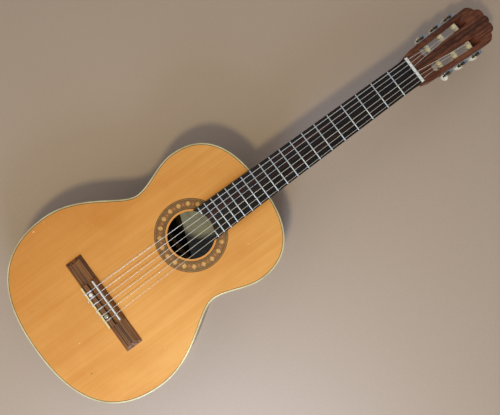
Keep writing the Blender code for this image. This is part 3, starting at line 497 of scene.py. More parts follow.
# Bindings: strips of cream plastic glued into a ledge round both edges of the box, scraped flush and
# eased at the corner. Beside the upper one runs a purfling of black veneer, let into the soundboard.
EASED = 0.0007
cream = Finish("cream_plastic", shade(214, 206, 164), 0.34, {"Coat Weight": 0.3, "Coat Roughness": 0.15})
stain = cream.cloud(cream.spread(26, 26, 26), 4, 0.6)
tone = cream.ramp(cream.between(stain, 0.3, 0.8), (0, shade(220, 212, 168)), (1, shade(176, 166, 122)))
grime = cream.cloud(cream.spread(220, 220, 220), 3, 0.6)
cream.colour(cream.mix(cream.between(grime, 0.6, 0.8, 0, 0.3), tone, shade(120, 104, 70)))
cream.rough(cream.between(grime, 0.3, 0.8, 0.28, 0.45))
cream.relief(cream.cloud(cream.spread(300, 300, 900), 2), 0.00004)
for name, node, low, high, up in (("binding_upper", "top_binding", TOP_Z - BINDING_H, TOP_Z, 1),
                                  ("binding_lower", "back_binding", 0.0, BINDING_H, -1)):
    face, far = (high, low) if up > 0 else (low, high)
    profile = [(BINDING_W, far), (0, far), (0, face - up * EASED), (EASED * 0.3, face - up * EASED * 0.3),
               (EASED, face), (BINDING_W, face)]
    strip = shape(name, skin([[(x, y, z) for x, y in outline(inset)] for inset, z in profile], looped=True),
                  cream)
    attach(strip, "guitar")
    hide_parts(node)

ebony_line = Finish("purfling_veneer", shade(66, 48, 30), 0.4, {"Coat Weight": 0.3})
fibre = ebony_line.cloud(ebony_line.spread(700, 700, 700), 3, 0.6)
ebony_line.colour(ebony_line.ramp(ebony_line.between(fibre, 0.3, 0.7), (0, shade(40, 28, 20)),
                                  (1, shade(92, 66, 40))))
ebony_line.relief(fibre, 0.00003)
profile = [(BINDING_W + PURFLING_W, TOP_Z - PLATE_T), (BINDING_W, TOP_Z - PLATE_T),
           (BINDING_W, TOP_Z + 0.00003),
           (BINDING_W + PURFLING_W, TOP_Z + 0.00003)]
purfling = shape("purfling",
                 skin([[(x, y, z) for x, y in outline(inset)] for inset, z in profile], looped=True),
                 ebony_line)
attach(purfling, "guitar")


# Neck: one length of reddish cedar, carved to a soft D, swelling to the heel at the body and to a flat
# back under the head. The heel runs the full depth of the ribs and ends in a rosewood cap.
NUT_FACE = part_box("fingerboard")[1].y + 0.0003
NUT_T = 0.0050
NUT_BACK = NUT_FACE + NUT_T
BOARD_END = HOLE_Y + 0.0205
BOARD_HALF_NUT, BOARD_HALF_END = 0.0250, 0.0311
NECK_T_NUT, NECK_T_HEEL = 0.0155, 0.0180
HEEL_START, HEEL_FRONT, HEEL_CLEAR = 0.392, 0.350, 0.0006
HEAD_ROOT_HALF = 0.0282
SHAFT_SECTION = ((1, 0), (0.985, 0.25), (0.93, 0.50), (0.80, 0.74), (0.60, 0.90), (0.33, 0.985), (0, 1))
HEEL_SECTION = ((1, 0), (0.84, 0.12), (0.66, 0.28), (0.53, 0.48), (0.45, 0.72), (0.40, 1), (0, 1))
HEAD_SECTION = ((1, 0), (1, 0.30), (1, 0.62), (0.98, 0.92), (0.90, 1), (0.45, 1), (0, 1))


def board_half(y):
    return BOARD_HALF_NUT + (BOARD_HALF_END - BOARD_HALF_NUT) * (NUT_FACE - y) / (NUT_FACE - BOARD_END)


def eased(points, steps):
    """A run through the points on one smooth curve, with this many steps between each two."""
    points = [Vector(p) for p in points]
    run = []
    for i in range(len(points) - 1):
        a, b, c, d = points[max(i - 1, 0)], points[i], points[i + 1], points[min(i + 2, len(points) - 1)]
        for k in range(steps):
            t = k / steps
            run.append(((2 * b) + (c - a) * t + (2 * a - 5 * b + 4 * c - d) * t * t
                        + (3 * b - a - 3 * c + d) * t**3) / 2)
    return [*run, points[-1]]


def blended(first, second, share):
    return [Vector(a).lerp(Vector(b), share) for a, b in zip(first, second)]


neck_wood = wood("neck_cedar", shade(70, 34, 20), shade(126, 68, 40), "y", 460, 0.42,
                 {"Coat Weight": 0.25, "Coat Roughness": 0.2})
nut_end = NUT_BACK + 0.002
heel_depth = TOP_Z - HEEL_CLEAR
sections = []
for i in range(81):
    y = BODY_TOP_Y + 0.0003 + (nut_end - BODY_TOP_Y - 0.0003) * (i / 80) ** 1.6
    near = min(1.0, max(0.0, (HEEL_START - y) / (HEEL_START - HEEL_FRONT)))
    swell = 1 - math.sqrt(1 - near * near)
    flat = max(0.0, (y - nut_end + 0.034) / 0.034) ** 2
    shaft = NECK_T_NUT + (NECK_T_HEEL - NECK_T_NUT) * (nut_end - y) / (nut_end - HEEL_START)
    depth = min(shaft, NECK_T_HEEL) + (heel_depth - NECK_T_HEEL) * swell + 0.0022 * flat
    half = board_half(y) + (HEAD_ROOT_HALF - 0.0006 - BOARD_HALF_NUT) * flat
    share = blended(blended(SHAFT_SECTION, HEEL_SECTION, swell), HEAD_SECTION, flat)
    run = [(half * p.x, TOP_Z - depth * min(1, p.y)) for p in eased(share, 4)]
    sections.append([(x, y, z) for x, z in run + [(-x, z) for x, z in reversed(run[:-1])]])
seat = skin([[(x, y, z) for y, z in ((NUT_FACE - 0.0003, TOP_Z - 0.001), (0.7, TOP_Z - 0.001), (0.7, 0.12),
                                     (NUT_FACE - 0.0003, 0.12))] for x in (-0.05, 0.05)])
neck = shape("neck_shaft", skin(sections), neck_wood)
carve(neck, seat, crease=40)
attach(neck, "guitar")

cap_wood = wood("cap_rosewood", shade(50, 25, 16), shade(106, 60, 38), "x", 420, 0.34, {"Coat Weight": 0.4})
CAP_T, CAP_OVER = 0.0022, 0.0003
cap_run = [(half_width, y) for half_width, y in ((0.40 * board_half(0.330) + CAP_OVER, BODY_TOP_Y + 0.0006),
                                                 (0.40 * board_half(0.343) + CAP_OVER, 0.343),
                                                 (0.0100, 0.3490), (0.0060, 0.3512), (0, 0.3518))]
cap_run = [(p.x, p.y) for p in eased(cap_run, 5)]
heel_cap = shape("heel_cap", plank(cap_run + [(-x, y) for x, y in reversed(cap_run[:-1])], 0.0004, CAP_T),
                 cap_wood, soft=0.0003)
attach(heel_cap, "guitar")


# Head: the same cedar, scarfed to the neck and laid back 13 degrees, with a scalloped crest and two long
# slots for the strings. Each slot has round ends, and floors that slope up out of it at both ends.
HEAD_ANGLE, HEAD_T, HEAD_PLATE_T = math.radians(13), 0.0170, 0.0025
HEAD_FRAME = Matrix.Translation((0, NUT_BACK, TOP_Z)) @ Matrix.Rotation(-HEAD_ANGLE, 4, "X")
SHOULDER_S, SHOULDER_HALF, SIDE_END_S, SIDE_END_HALF = 0.016, 0.0324, 0.148, 0.0379
CREST_OUTER, CREST_INNER, CREST_TIP_S = (0.025, 0.167), (0.0074, 0.1765), 0.181
SPLAY = math.atan((SIDE_END_HALF - SHOULDER_HALF) / (SIDE_END_S - SHOULDER_S))
MACHINE_S, MACHINE_PITCH = 0.084, 0.035
SLOT_X, SLOT_W, SLOT_LOW, SLOT_HIGH, SLOT_RAMP = 0.0185, 0.0145, -0.056, 0.057, 0.010
ROLLER_DEPTH, ROLLER_R, ROLLER_HALF, SHAFT_R = 0.0060, 0.0050, 0.0070, 0.0030


def arc(start, end, rise, steps=16):
    """Points on the arc from start to end that stands rise off its chord, to the left."""
    a, b = Vector(start), Vector(end)
    chord = b - a
    left = Vector((-chord.y, chord.x)).normalized()
    radius = (chord.length**2 / 4 + rise**2) / (2 * rise)
    centre = (a + b) / 2 + left * (rise - radius)
    half, middle = math.asin(min(1.0, chord.length / 2 / radius)), math.atan2(left.y, left.x)
    turns = [middle + half * (1 - 2 * i / steps) for i in range(steps + 1)]
    return [(centre.x + radius * math.cos(t), centre.y + radius * math.sin(t)) for t in turns]


def head_outline(start, start_half):
    """The head seen square on, in metres across it and along it from the nut."""
    shoulder = [(HEAD_ROOT_HALF, 0.0010), (0.0291, 0.0042), (0.0305, 0.0085), (SHOULDER_HALF, SHOULDER_S)]
    half = [(start_half, start)] + [(p.x, p.y) for p in eased(shoulder, 4)]
    outer = arc(CREST_OUTER, (SIDE_END_HALF, SIDE_END_S), 0.0042)
    inner = arc(CREST_INNER, CREST_OUTER, 0.0060)
    half += outer[:0:-1] + inner[::-1]
    tip = arc((-CREST_INNER[0], CREST_INNER[1]), CREST_INNER, CREST_TIP_S - CREST_INNER[1])
    return half + tip[-2:0:-1] + [(-x, s) for x, s in reversed(half)]


def side_frame(side):
    """On a slot's centre line beside the middle roller, X along the roller and Y along the slot."""
    return (HEAD_FRAME @ Matrix.Translation((side * SLOT_X, MACHINE_S, 0))
            @ Matrix.Rotation(-side * SPLAY, 4, "Z"))


def machine_frame(side, place):
    """On a roller's axis, in the middle of the slot. place is -1, 0 or 1 from the nut to the tip."""
    return side_frame(side) @ Matrix.Translation((0, place * MACHINE_PITCH, -ROLLER_DEPTH))


def slot_cutters():
    top, bottom = HEAD_PLATE_T + 0.001, -HEAD_T - 0.001
    r = SLOT_W / 2
    cutters = []
    for side in (-1, 1):
        levels = []
        for z, shrink in ((top, 0), (0, SLOT_RAMP * 0.12), (bottom, SLOT_RAMP)):
            low, high = SLOT_LOW + r * 0.55 + shrink, SLOT_HIGH - r * 0.55 - shrink
            turns = [math.pi * k / 12 for k in range(13)]
            ends = [(r * math.cos(a), high + r * 0.55 * math.sin(a)) for a in turns]
            ends += [(-r * math.cos(a), low - r * 0.55 * math.sin(a)) for a in turns]
            levels.append([(x, y, z) for x, y in ends])
        cutters.append(moved(skin(levels), side_frame(side)))
    return cutters


HEAD_MID_HALF = SHOULDER_HALF + (MACHINE_S - SHOULDER_S) * math.tan(SPLAY)
HEAD_SIDE_A = (HEAD_MID_HALF - SLOT_X) * math.cos(SPLAY)
bores = [moved(lathe([(SHAFT_R + 0.0004, side * -0.012), (SHAFT_R + 0.0004, side * (HEAD_SIDE_A + 0.002))],
                     24, "X"),
               machine_frame(side, place)) for side in (-1, 1) for place in (-1, 0, 1)]
head = shape("head_block", plank(head_outline(0.0012, HEAD_ROOT_HALF - 0.0004), -HEAD_T, 0), neck_wood,
             place=HEAD_FRAME)
carve(head, *slot_cutters(), *bores, soft=0.0007)
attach(head, "guitar")
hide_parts("neck")


# Head veneer: a leaf of rosewood 2.5 mm thick glued to the face of the head and cut through with the
# slots. Its pores are left a little open and its edges are eased.
face_wood = wood("head_rosewood", shade(78, 40, 27), shade(134, 80, 54), "y", 380, 0.5,
                 {"Specular IOR Level": 0.25}, contrast=0.16)
streak = face_wood.cloud(face_wood.spread(300, 1.0, 3), 3, 0.6, 0.05)
face_wood.colour(face_wood.mix(face_wood.between(streak, 0.50, 0.57, 0, 0.72), face_wood.shown,
                               shade(44, 22, 16)))
veneer = shape("head_veneer", plank(head_outline(0.0012, HEAD_ROOT_HALF - 0.0004), 0.0001, HEAD_PLATE_T),
               face_wood,
               place=HEAD_FRAME)
carve(veneer, *slot_cutters(), soft=0.0005)
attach(veneer, "guitar")
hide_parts("head_plate")


# Fingerboard: a tapered plank of near-black wood 6.5 mm thick, glued down the neck and over the
# soundboard to the sound hole, where its end is hollowed to the hole's own curve. Oiled, not varnished.
BOARD_Z, BOARD_TOP_Z = TOP_Z + 0.0003, TOP_Z + 0.0068
board_wood = wood("board_ebony", shade(16, 16, 20), shade(36, 33, 36), "y", 520, 0.42,
                  {"Specular IOR Level": 0.22}, contrast=0.2)
streak = board_wood.cloud(board_wood.spread(190, 3.4, 1), 3, 0.6, 0.3)
board_wood.colour(board_wood.mix(board_wood.between(streak, 0.50, 0.66, 0, 0.85), board_wood.shown,
                                 shade(74, 40, 34)))
pits = board_wood.cloud(board_wood.spread(2600, 160, 1), 1)
board_wood.relief(board_wood.between(pits, 0.3, 0.45, 0, 1), 0.00012)
worn = board_wood.cloud(board_wood.spread(70, 30, 1), 3, 0.6)
board_wood.rough(board_wood.between(worn, 0.35, 0.7, 0.34, 0.52))
plan = [(-board_half(BOARD_END), BOARD_END), (board_half(BOARD_END), BOARD_END),
        (BOARD_HALF_NUT, NUT_FACE - 0.0003), (-BOARD_HALF_NUT, NUT_FACE - 0.0003)]
board = shape("fingerboard_plank", plank(plan, BOARD_Z, BOARD_TOP_Z), board_wood)
carve(board, moved(lathe([(HOLE_R, -0.01), (HOLE_R, 0.02)], 128), at_hole), soft=0.0004)
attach(board, "guitar")
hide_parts("fingerboard")


# Frets: nineteen lengths of nickel silver wire, pressed into sawn slots, filed off at a slant at both
# ends and polished. The last one is cut through by the sound hole.
FRETS, FRET_W, FRET_H = 19, 0.0021, 0.0010
# Painted reflection: the bluish tint of this nickel silver stands for the cool window light reflected in it.
fret_metal = Finish("nickel_silver_painted_cool_reflection", shade(206, 222, 232), 0.4, {"Metallic": 0.55})
rub = fret_metal.cloud(fret_metal.spread(900, 120, 900), 3, 0.6)
fret_metal.colour(fret_metal.ramp(fret_metal.between(rub, 0.25, 0.75), (0, shade(190, 206, 216)),
                                  (1, shade(222, 234, 242))))
fret_metal.rough(fret_metal.between(rub, 0.3, 0.7, 0.34, 0.5))
fret_metal.relief(rub, 0.00002)
crown = [(FRET_W / 2 * math.cos(a), FRET_H * math.sin(a)) for a in (math.pi * k / 10 for k in range(11))]
wires = bmesh.new()
for number in range(1, FRETS + 1):
    y = NUT_FACE * 2 ** (-number / 12)
    edge = board_half(y) - 0.0003
    inside = math.sqrt(max(0.0, HOLE_R**2 - (y - HOLE_Y) ** 2)) if y < HOLE_Y + HOLE_R else 0.0
    for low, high in ((-edge, -inside), (inside, edge)) if inside else ((-edge, edge),):
        slant = [(low, 0), (low + 0.0007, 1), (high - 0.0007, 1), (high, 0)]
        skin([[(x, y + dy, BOARD_TOP_Z - 0.0002 + dz * (1 if full else 0.15)) for dy, dz in crown]
              for x, full in slant], wires)
frets = shape("fret_wires", wires, fret_metal, crease=50)
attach(frets, "guitar")


# Nut: a block of bone standing across the end of the fingerboard, rounded over towards the head, with a
# filed notch for each string. Held by string pressure and a spot of glue.
STRING_R = {1: 0.00036, 2: 0.00041, 3: 0.00051, 4: 0.00037, 5: 0.00045, 6: 0.00055}
NUT_XS = {1: 0.0208, 2: 0.0129, 3: 0.0051, 4: -0.0052, 5: -0.0128, 6: -0.0204}
NUT_TOP_Z = BOARD_TOP_Z + 0.0019
# Painted reflection: the bone's bluish tint stands for the cool window light reflected in it; the bone itself
# is bleached white.
bone = Finish("bleached_bone_painted_cool_reflection", shade(232, 238, 238), 0.38,
              {"Subsurface Weight": 0.08, "Subsurface Scale": 0.002})
bone.shader.inputs["Subsurface Radius"].default_value = (1.0, 0.8, 0.5)
fibre = bone.cloud(bone.spread(160, 2200, 900), 3, 0.6)
stain = bone.cloud(bone.spread(90, 240, 240), 3, 0.55)
tone = bone.ramp(bone.between(fibre, 0.25, 0.75), (0, shade(218, 226, 226)), (1, shade(240, 246, 250)))
bone.colour(bone.mix(bone.between(stain, 0.5, 0.8, 0, 0.35), tone, shade(196, 190, 164)))
bone.rough(bone.between(stain, 0.3, 0.8, 0.3, 0.5))
bone.relief(fibre, 0.00002)
nut_low = TOP_Z - 0.0007
profile = [(NUT_FACE, nut_low), (NUT_BACK, nut_low), (NUT_BACK, NUT_TOP_Z - 0.0012)]
profile += [(NUT_BACK - 0.0018 + 0.0018 * math.cos(a), NUT_TOP_Z - 0.0012 + 0.0016 * math.sin(a))
            for a in (math.pi / 12 * k for k in range(1, 7))]
profile += [(NUT_FACE + 0.0008, NUT_TOP_Z + 0.0006), (NUT_FACE, NUT_TOP_Z + 0.0002)]
nut = shape("nut_bone", skin([[(x, y, z) for y, z in profile] for x in (-BOARD_HALF_NUT, BOARD_HALF_NUT)]),
            bone)
notches = [moved(lathe([(r + 0.00008, -0.004), (r + 0.00008, 0.009)], 16, "Y"),
                 Matrix.Translation((NUT_XS[n], NUT_FACE, NUT_TOP_Z + 0.0003 + r)))
           for n, r in STRING_R.items()]
carve(nut, *notches, soft=0.0002, crease=50)
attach(nut, "guitar")
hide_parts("nut")


# Bridge: one block of rosewood glued straight to the soundboard. Two domed wings with bevelled ends
# stand either side of the raised middle, which holds the saddle's ridge, a valley and the tie block.
BRIDGE_Z = TOP_Z + 0.0003
BRIDGE_X, BRIDGE_FRONT, BRIDGE_REAR = 0.0044, 0.0067, -0.0243
BRIDGE_HALF, MIDDLE_HALF, END_BEVEL = 0.0910, 0.0427, 0.0080
RIDGE_H, VALLEY_H, TIE_H, WING_H, WING_EDGE_H = 0.0080, 0.0035, 0.0090, 0.0068, 0.0015
RIDGE_REAR, TIE_FRONT, TIE_HOLE_Z, TIE_HOLE_R = -0.0050, -0.0122, 0.0049, 0.0010
STRIP_W, STRIP_H, SADDLE_T, SADDLE_HALF = 0.0026, 0.0023, 0.0026, 0.0402
SADDLE_XS = {1: 0.0327, 2: 0.0211, 3: 0.0092, 4: -0.0021, 5: -0.0132, 6: -0.0244}
bridge_wood = wood("bridge_rosewood", shade(92, 52, 26), shade(158, 108, 64), "x", 620, 0.45,
                   {"Specular IOR Level": 0.4}, contrast=0.18)
streak = bridge_wood.cloud(bridge_wood.spread(2, 300, 300), 3, 0.6, 0.1)
bridge_wood.colour(bridge_wood.mix(bridge_wood.between(streak, 0.50, 0.57, 0, 0.85), bridge_wood.shown,
                                   shade(42, 20, 12)))
pits = bridge_wood.cloud(bridge_wood.spread(140, 2600, 2600), 1)
bridge_wood.relief(bridge_wood.between(pits, 0.3, 0.45, 0, 1), 0.00012)
rebate = BRIDGE_REAR + STRIP_W + 0.0003
middle = [(BRIDGE_REAR, 0), (BRIDGE_FRONT, 0), (BRIDGE_FRONT, 0.0028), (BRIDGE_FRONT - 0.0035, RIDGE_H),
          (RIDGE_REAR, RIDGE_H), (RIDGE_REAR - 0.0010, VALLEY_H), (TIE_FRONT + 0.0005, VALLEY_H),
          (TIE_FRONT, TIE_H), (rebate, TIE_H), (rebate, TIE_H - STRIP_H), (BRIDGE_REAR, TIE_H - STRIP_H)]
at_bridge = Matrix.Translation((BRIDGE_X, 0, BRIDGE_Z))
bridge = shape("bridge_block", skin([[(x, y, z) for y, z in middle] for x in (-MIDDLE_HALF, MIDDLE_HALF)]),
               bridge_wood, place=at_bridge)
centre_y, half_y = (BRIDGE_FRONT + BRIDGE_REAR) / 2, (BRIDGE_FRONT - BRIDGE_REAR) / 2
arch = [(BRIDGE_REAR, 0), (BRIDGE_FRONT, 0)]
for i in range(25):
    share = 1 - 2 * i / 24
    arch.append((centre_y + half_y * share, WING_EDGE_H + (WING_H - WING_EDGE_H) * (1 - share * share)))
wings = [moved(skin([[(side * (MIDDLE_HALF - 0.0006), y, z) for y, z in arch],
                     [(side * (BRIDGE_HALF - END_BEVEL * z / WING_H), y, z) for y, z in arch]]), at_bridge)
         for side in (-1, 1)]
carve(bridge, *wings, joining=True)
slot_cut = plank([(-SADDLE_HALF, -SADDLE_T / 2), (SADDLE_HALF, -SADDLE_T / 2), (SADDLE_HALF, SADDLE_T / 2),
                  (-SADDLE_HALF, SADDLE_T / 2)], RIDGE_H - 0.004, 0.02)
string_holes = [moved(lathe([(TIE_HOLE_R, BRIDGE_REAR - 0.002), (TIE_HOLE_R, TIE_FRONT + 0.001)], 16, "Y"),
                      Matrix.Translation((x, 0, BRIDGE_Z + TIE_HOLE_Z))) for x in SADDLE_XS.values()]
carve(bridge, moved(slot_cut, at_bridge), *string_holes, soft=0.00035, crease=28)
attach(bridge, "guitar")
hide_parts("bridge")


# Dots: two small discs of mother of pearl let into the top of the tie block, between the outer strings,
# and left slightly proud. The bass one is white, the treble one cut from greyer shell.
DOT_R, DOT_Y = 0.00325, -0.0167
for word, x, pale, deep in (("bass", -0.0185, shade(248, 250, 248), shade(206, 218, 214)),
                            ("treble", 0.0265, shade(172, 182, 160), shade(112, 126, 106))):
    pearl = Finish(f"shell_{word}", pale, 0.18, {"Coat Weight": 0.6, "Coat Roughness": 0.05})
    layers = pearl.cloud(pearl.spread(420, 420, 2000), 3, 0.6, 1.8)
    pearl.colour(pearl.ramp(pearl.between(layers, 0.3, 0.7), (0, deep), (0.5, pale),
                            (1, shade(214, 206, 216) if word == "bass" else deep)))
    pearl.rough(pearl.between(layers, 0.3, 0.7, 0.12, 0.3))
    pearl.relief(layers, 0.00003)
    top = BRIDGE_Z + TIE_H
    dot = shape(f"pearl_dot_{word}",
                lathe([(DOT_R, top - 0.0006), (DOT_R, top + 0.00005), (DOT_R * 0.94, top + 0.00016),
                       (DOT_R * 0.6, top + 0.00026), (DOT_R * 0.1, top + 0.0003)], 40),
                pearl, place=Matrix.Translation((x, DOT_Y, 0)))
    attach(dot, "guitar")


# Strip: a square rod of bone glued into a rebate along the tie block's rear edge, so that the string
# loops bear on it and don't cut the wood.
yellow_bone = Finish("yellowed_bone", shade(232, 212, 150), 0.4)
fibre = yellow_bone.cloud(yellow_bone.spread(160, 1600, 900), 3, 0.6)
yellow_bone.colour(yellow_bone.ramp(yellow_bone.between(fibre, 0.25, 0.75), (0, shade(216, 192, 130)),
                                    (1, shade(242, 226, 172))))
yellow_bone.relief(fibre, 0.00002)
low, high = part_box("tie_block_strip")
strip = shape("tie_strip_bone", plank([(low.x, low.y), (high.x, low.y), (high.x, high.y), (low.x, high.y)],
                                      low.z, high.z), yellow_bone, soft=0.0003)
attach(strip, "guitar")
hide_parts("tie_block_strip")


# Saddle: a bone blade standing loose in the bridge's slot under the strings, rounded along its top and
# worn with a faint groove where each string crosses.
SADDLE_TOP_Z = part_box("saddle")[1].z + 0.0002
t = SADDLE_T / 2 - 0.0001
foot = BRIDGE_Z + RIDGE_H - 0.0037
crown = [(-t, foot), (t, foot)] + [(t * math.cos(a), SADDLE_TOP_Z - t * 0.8 + t * 0.8 * math.sin(a))
                                   for a in (math.pi * k / 12 for k in range(13))]
saddle = shape("saddle_bone",
               skin([[(BRIDGE_X + x, y, z) for y, z in crown] for x in (-SADDLE_HALF, SADDLE_HALF)]),
               bone)
grooves = [moved(lathe([(r, -0.003), (r, 0.003)], 12, "Y"),
                 Matrix.Translation((SADDLE_XS[n], 0, SADDLE_TOP_Z + r * 0.6)))
           for n, r in STRING_R.items()]
carve(saddle, *grooves, crease=40)
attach(saddle, "guitar")
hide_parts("saddle")


# Side plates: one steel strip for each side of the head, stamped, nickel plated and screwed on. Folded
# ears carry the three worms, and each strip is held by slotted dome-headed screws.
GAP, METAL_T = 0.0003, 0.0012
PLATE_LOW, PLATE_HIGH, PLATE_END, CENTRE_DISTANCE = -0.0070, 0.0064, 0.0120, 0.0085
WORM_TIP_R = 0.0030
PLATE_OUT_A = HEAD_SIDE_A + GAP + METAL_T
WORM_A = PLATE_OUT_A + GAP + WORM_TIP_R
EAR_IN, EAR_T, EAR_HALF, SCREW_R = 0.0050, 0.0012, 0.0030, 0.0019
SCREW_YS = (-0.0435, -0.0155, 0.0200)


def plated(name, dark, light, roughness, tarnish):
    """Plated or polished metal, dulled and stained where hands and air reach it."""
    made = Finish(name, light, roughness, {"Metallic": 1.0})
    rubbed = made.cloud(made.spread(260, 260, 260), 4, 0.65, 0.4)
    fine = made.cloud(made.spread(2400, 1200, 2400), 2, 0.5)
    bright = made.ramp(made.between(rubbed, 0.3, 0.7), (0, dark), (1, light))
    made.colour(made.mix(made.between(rubbed, 0.52, 0.72, 0, 0.6), bright, tarnish))
    made.rough(made.between(rubbed, 0.3, 0.75, roughness - 0.08, roughness + 0.2))
    made.relief(fine, 0.00002)
    return made


nickel = plated("nickel_plate", shade(128, 136, 146), shade(186, 194, 204), 0.3, shade(92, 92, 96))
screw_steel = plated("screw_steel", shade(150, 148, 140), shade(214, 212, 204), 0.26, shade(96, 88, 70))


def screw_head(radius, height, turn):
    """A domed head with a sawn slot, looking along +Z, with its seat at the origin."""
    steps = 24
    rows = [(radius, -0.0004), (radius, height * 0.25)]
    rows += [(radius * math.cos(a), height * (0.25 + 0.75 * math.sin(a)))
             for a in (math.pi / 2 * k / 6 for k in range(1, 6))]
    rows.append((radius * 0.06, height))
    mesh = lathe(rows, steps)
    for vert in mesh.verts:  # the slot is pressed into the dome as a flat-bottomed channel
        if abs(vert.co.y) < radius * 0.24 and vert.co.z > height * 0.3:
            vert.co.z = height * 0.3
    return moved(mesh, Matrix.Rotation(turn, 4, "Z"))


def outwards(side):
    """Turns +Z to point out of the head's side."""
    return Matrix.Rotation(side * math.pi / 2, 4, "Y")


for word, side in (("bass", -1), ("treble", 1)):
    here = machine_frame(side, 0)
    low, high = -MACHINE_PITCH - PLATE_END, MACHINE_PITCH + CENTRE_DISTANCE + PLATE_END / 2
    round_r = (PLATE_HIGH - PLATE_LOW) / 2
    mid_z = (PLATE_HIGH + PLATE_LOW) / 2
    turns = [math.pi * k / 10 for k in range(11)]
    rim = [(high - round_r * 0.5 + round_r * 0.5 * math.sin(a), mid_z - round_r * math.cos(a)) for a in turns]
    rim += [(low + round_r * 0.5 - round_r * 0.5 * math.sin(a), mid_z + round_r * math.cos(a)) for a in turns]
    xs = (side * (HEAD_SIDE_A + GAP), side * PLATE_OUT_A)
    side_plate = shape(f"side_plate_{word}", skin([[(x, y, z) for y, z in rim] for x in xs]), nickel,
                       place=here)
    ears, holes = [], []
    for place in (-1, 0, 1):
        at = place * MACHINE_PITCH
        holes.append(moved(lathe([(SHAFT_R + 0.0004, xs[0] - side * 0.001),
                                  (SHAFT_R + 0.0004, xs[1] + side * 0.001)],
                                 24, "X"), here @ Matrix.Translation((0, at, 0))))
        worm_y = at + CENTRE_DISTANCE
        tab = [(PLATE_OUT_A - METAL_T / 2, worm_y - EAR_HALF), (WORM_A, worm_y - EAR_HALF)]
        tab += [(WORM_A + EAR_HALF * math.sin(a) * 0.93, worm_y - EAR_HALF * math.cos(a))
                for a in (math.pi * k / 8 for k in range(1, 8))]
        tab += [(WORM_A, worm_y + EAR_HALF), (PLATE_OUT_A - METAL_T / 2, worm_y + EAR_HALF)]
        for ear_low in (EAR_IN, -EAR_IN - EAR_T):
            ears.append(moved(plank([(side * x, y) for x, y in tab], ear_low, ear_low + EAR_T), here))
        holes.append(moved(lathe([(0.0019, -0.0075), (0.0019, 0.0075)], 24),
                           here @ Matrix.Translation((side * WORM_A, worm_y, 0))))
    carve(side_plate, *ears, joining=True)
    carve(side_plate, *holes, soft=0.0002)
    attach(side_plate, "guitar")
    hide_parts(f"machine_plate_{word}")
    for k, y in enumerate(SCREW_YS):
        at = here @ Matrix.Translation((side * PLATE_OUT_A, y, mid_z)) @ outwards(side)
        screw = shape(f"plate_screw_{word}_{k + 1}", screw_head(SCREW_R, 0.0009, 0.5 + 0.9 * k), screw_steel,
                      place=at)
        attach(screw, "guitar")


# Barrels: a cream plastic sleeve on a steel shaft for each string, turning in the head. A hole through
# the sleeve takes the string's end. The wheel on its outer end is brass, held by one bright screw.
PIVOT_R, PIVOT_L, GEAR_SEAT_R = 0.0025, 0.0042, 0.0020
GEAR_TEETH, GEAR_TIP_R, GEAR_ROOT_R, GEAR_T = 14, 0.0062, 0.0051, 0.0030
TOOTH_TIP_W, TOOTH_ROOT_W, WHEEL_EASE = 0.0008, 0.0012, 0.0003
ROLLER_LATERAL = (-0.0019, 0.0015, 0.0034)  # where a string meets its roller, inwards from its middle
COIL_TURNS, HOLE_TURN = 3, math.radians(62)


def string_seat(n):
    """Side of the head and place along it: strings 1 and 6 wind nearest the nut."""
    return (1, n - 2) if n <= 3 else (-1, 5 - n)


sleeve_plastic = Finish("sleeve_plastic", shade(232, 218, 170), 0.36,
                        {"Subsurface Weight": 0.1, "Subsurface Scale": 0.002, "Coat Weight": 0.2})
aged = sleeve_plastic.cloud(sleeve_plastic.spread(190, 260, 260), 4, 0.6)
tone = sleeve_plastic.ramp(sleeve_plastic.between(aged, 0.3, 0.75), (0, shade(236, 232, 206)),
                           (1, shade(220, 206, 156)))
dirt = sleeve_plastic.cloud(sleeve_plastic.spread(900, 500, 500), 3, 0.6)
sleeve_plastic.colour(sleeve_plastic.mix(sleeve_plastic.between(dirt, 0.6, 0.8, 0, 0.25), tone,
                                         shade(130, 112, 76)))
sleeve_plastic.rough(sleeve_plastic.between(dirt, 0.3, 0.8, 0.3, 0.5))
sleeve_plastic.relief(dirt, 0.00003)
old_brass = plated("old_brass", shade(72, 60, 38), shade(128, 106, 62), 0.42, shade(34, 32, 26))


def wheel_rim(shrink):
    rim = []
    for tooth in range(GEAR_TEETH):
        middle = 2 * math.pi * (tooth + 0.5) / GEAR_TEETH
        for radius, width, sign in ((GEAR_ROOT_R, TOOTH_ROOT_W * 1.5, -1), (GEAR_ROOT_R, TOOTH_ROOT_W, -1),
                                    (GEAR_TIP_R, TOOTH_TIP_W, -1), (GEAR_TIP_R, TOOTH_TIP_W, 1),
                                    (GEAR_ROOT_R, TOOTH_ROOT_W, 1), (GEAR_ROOT_R, TOOTH_ROOT_W * 1.5, 1)):
            angle = middle + sign * width / 2 / radius
            rim.append(((radius - shrink) * math.cos(angle), (radius - shrink) * math.sin(angle)))
    return rim


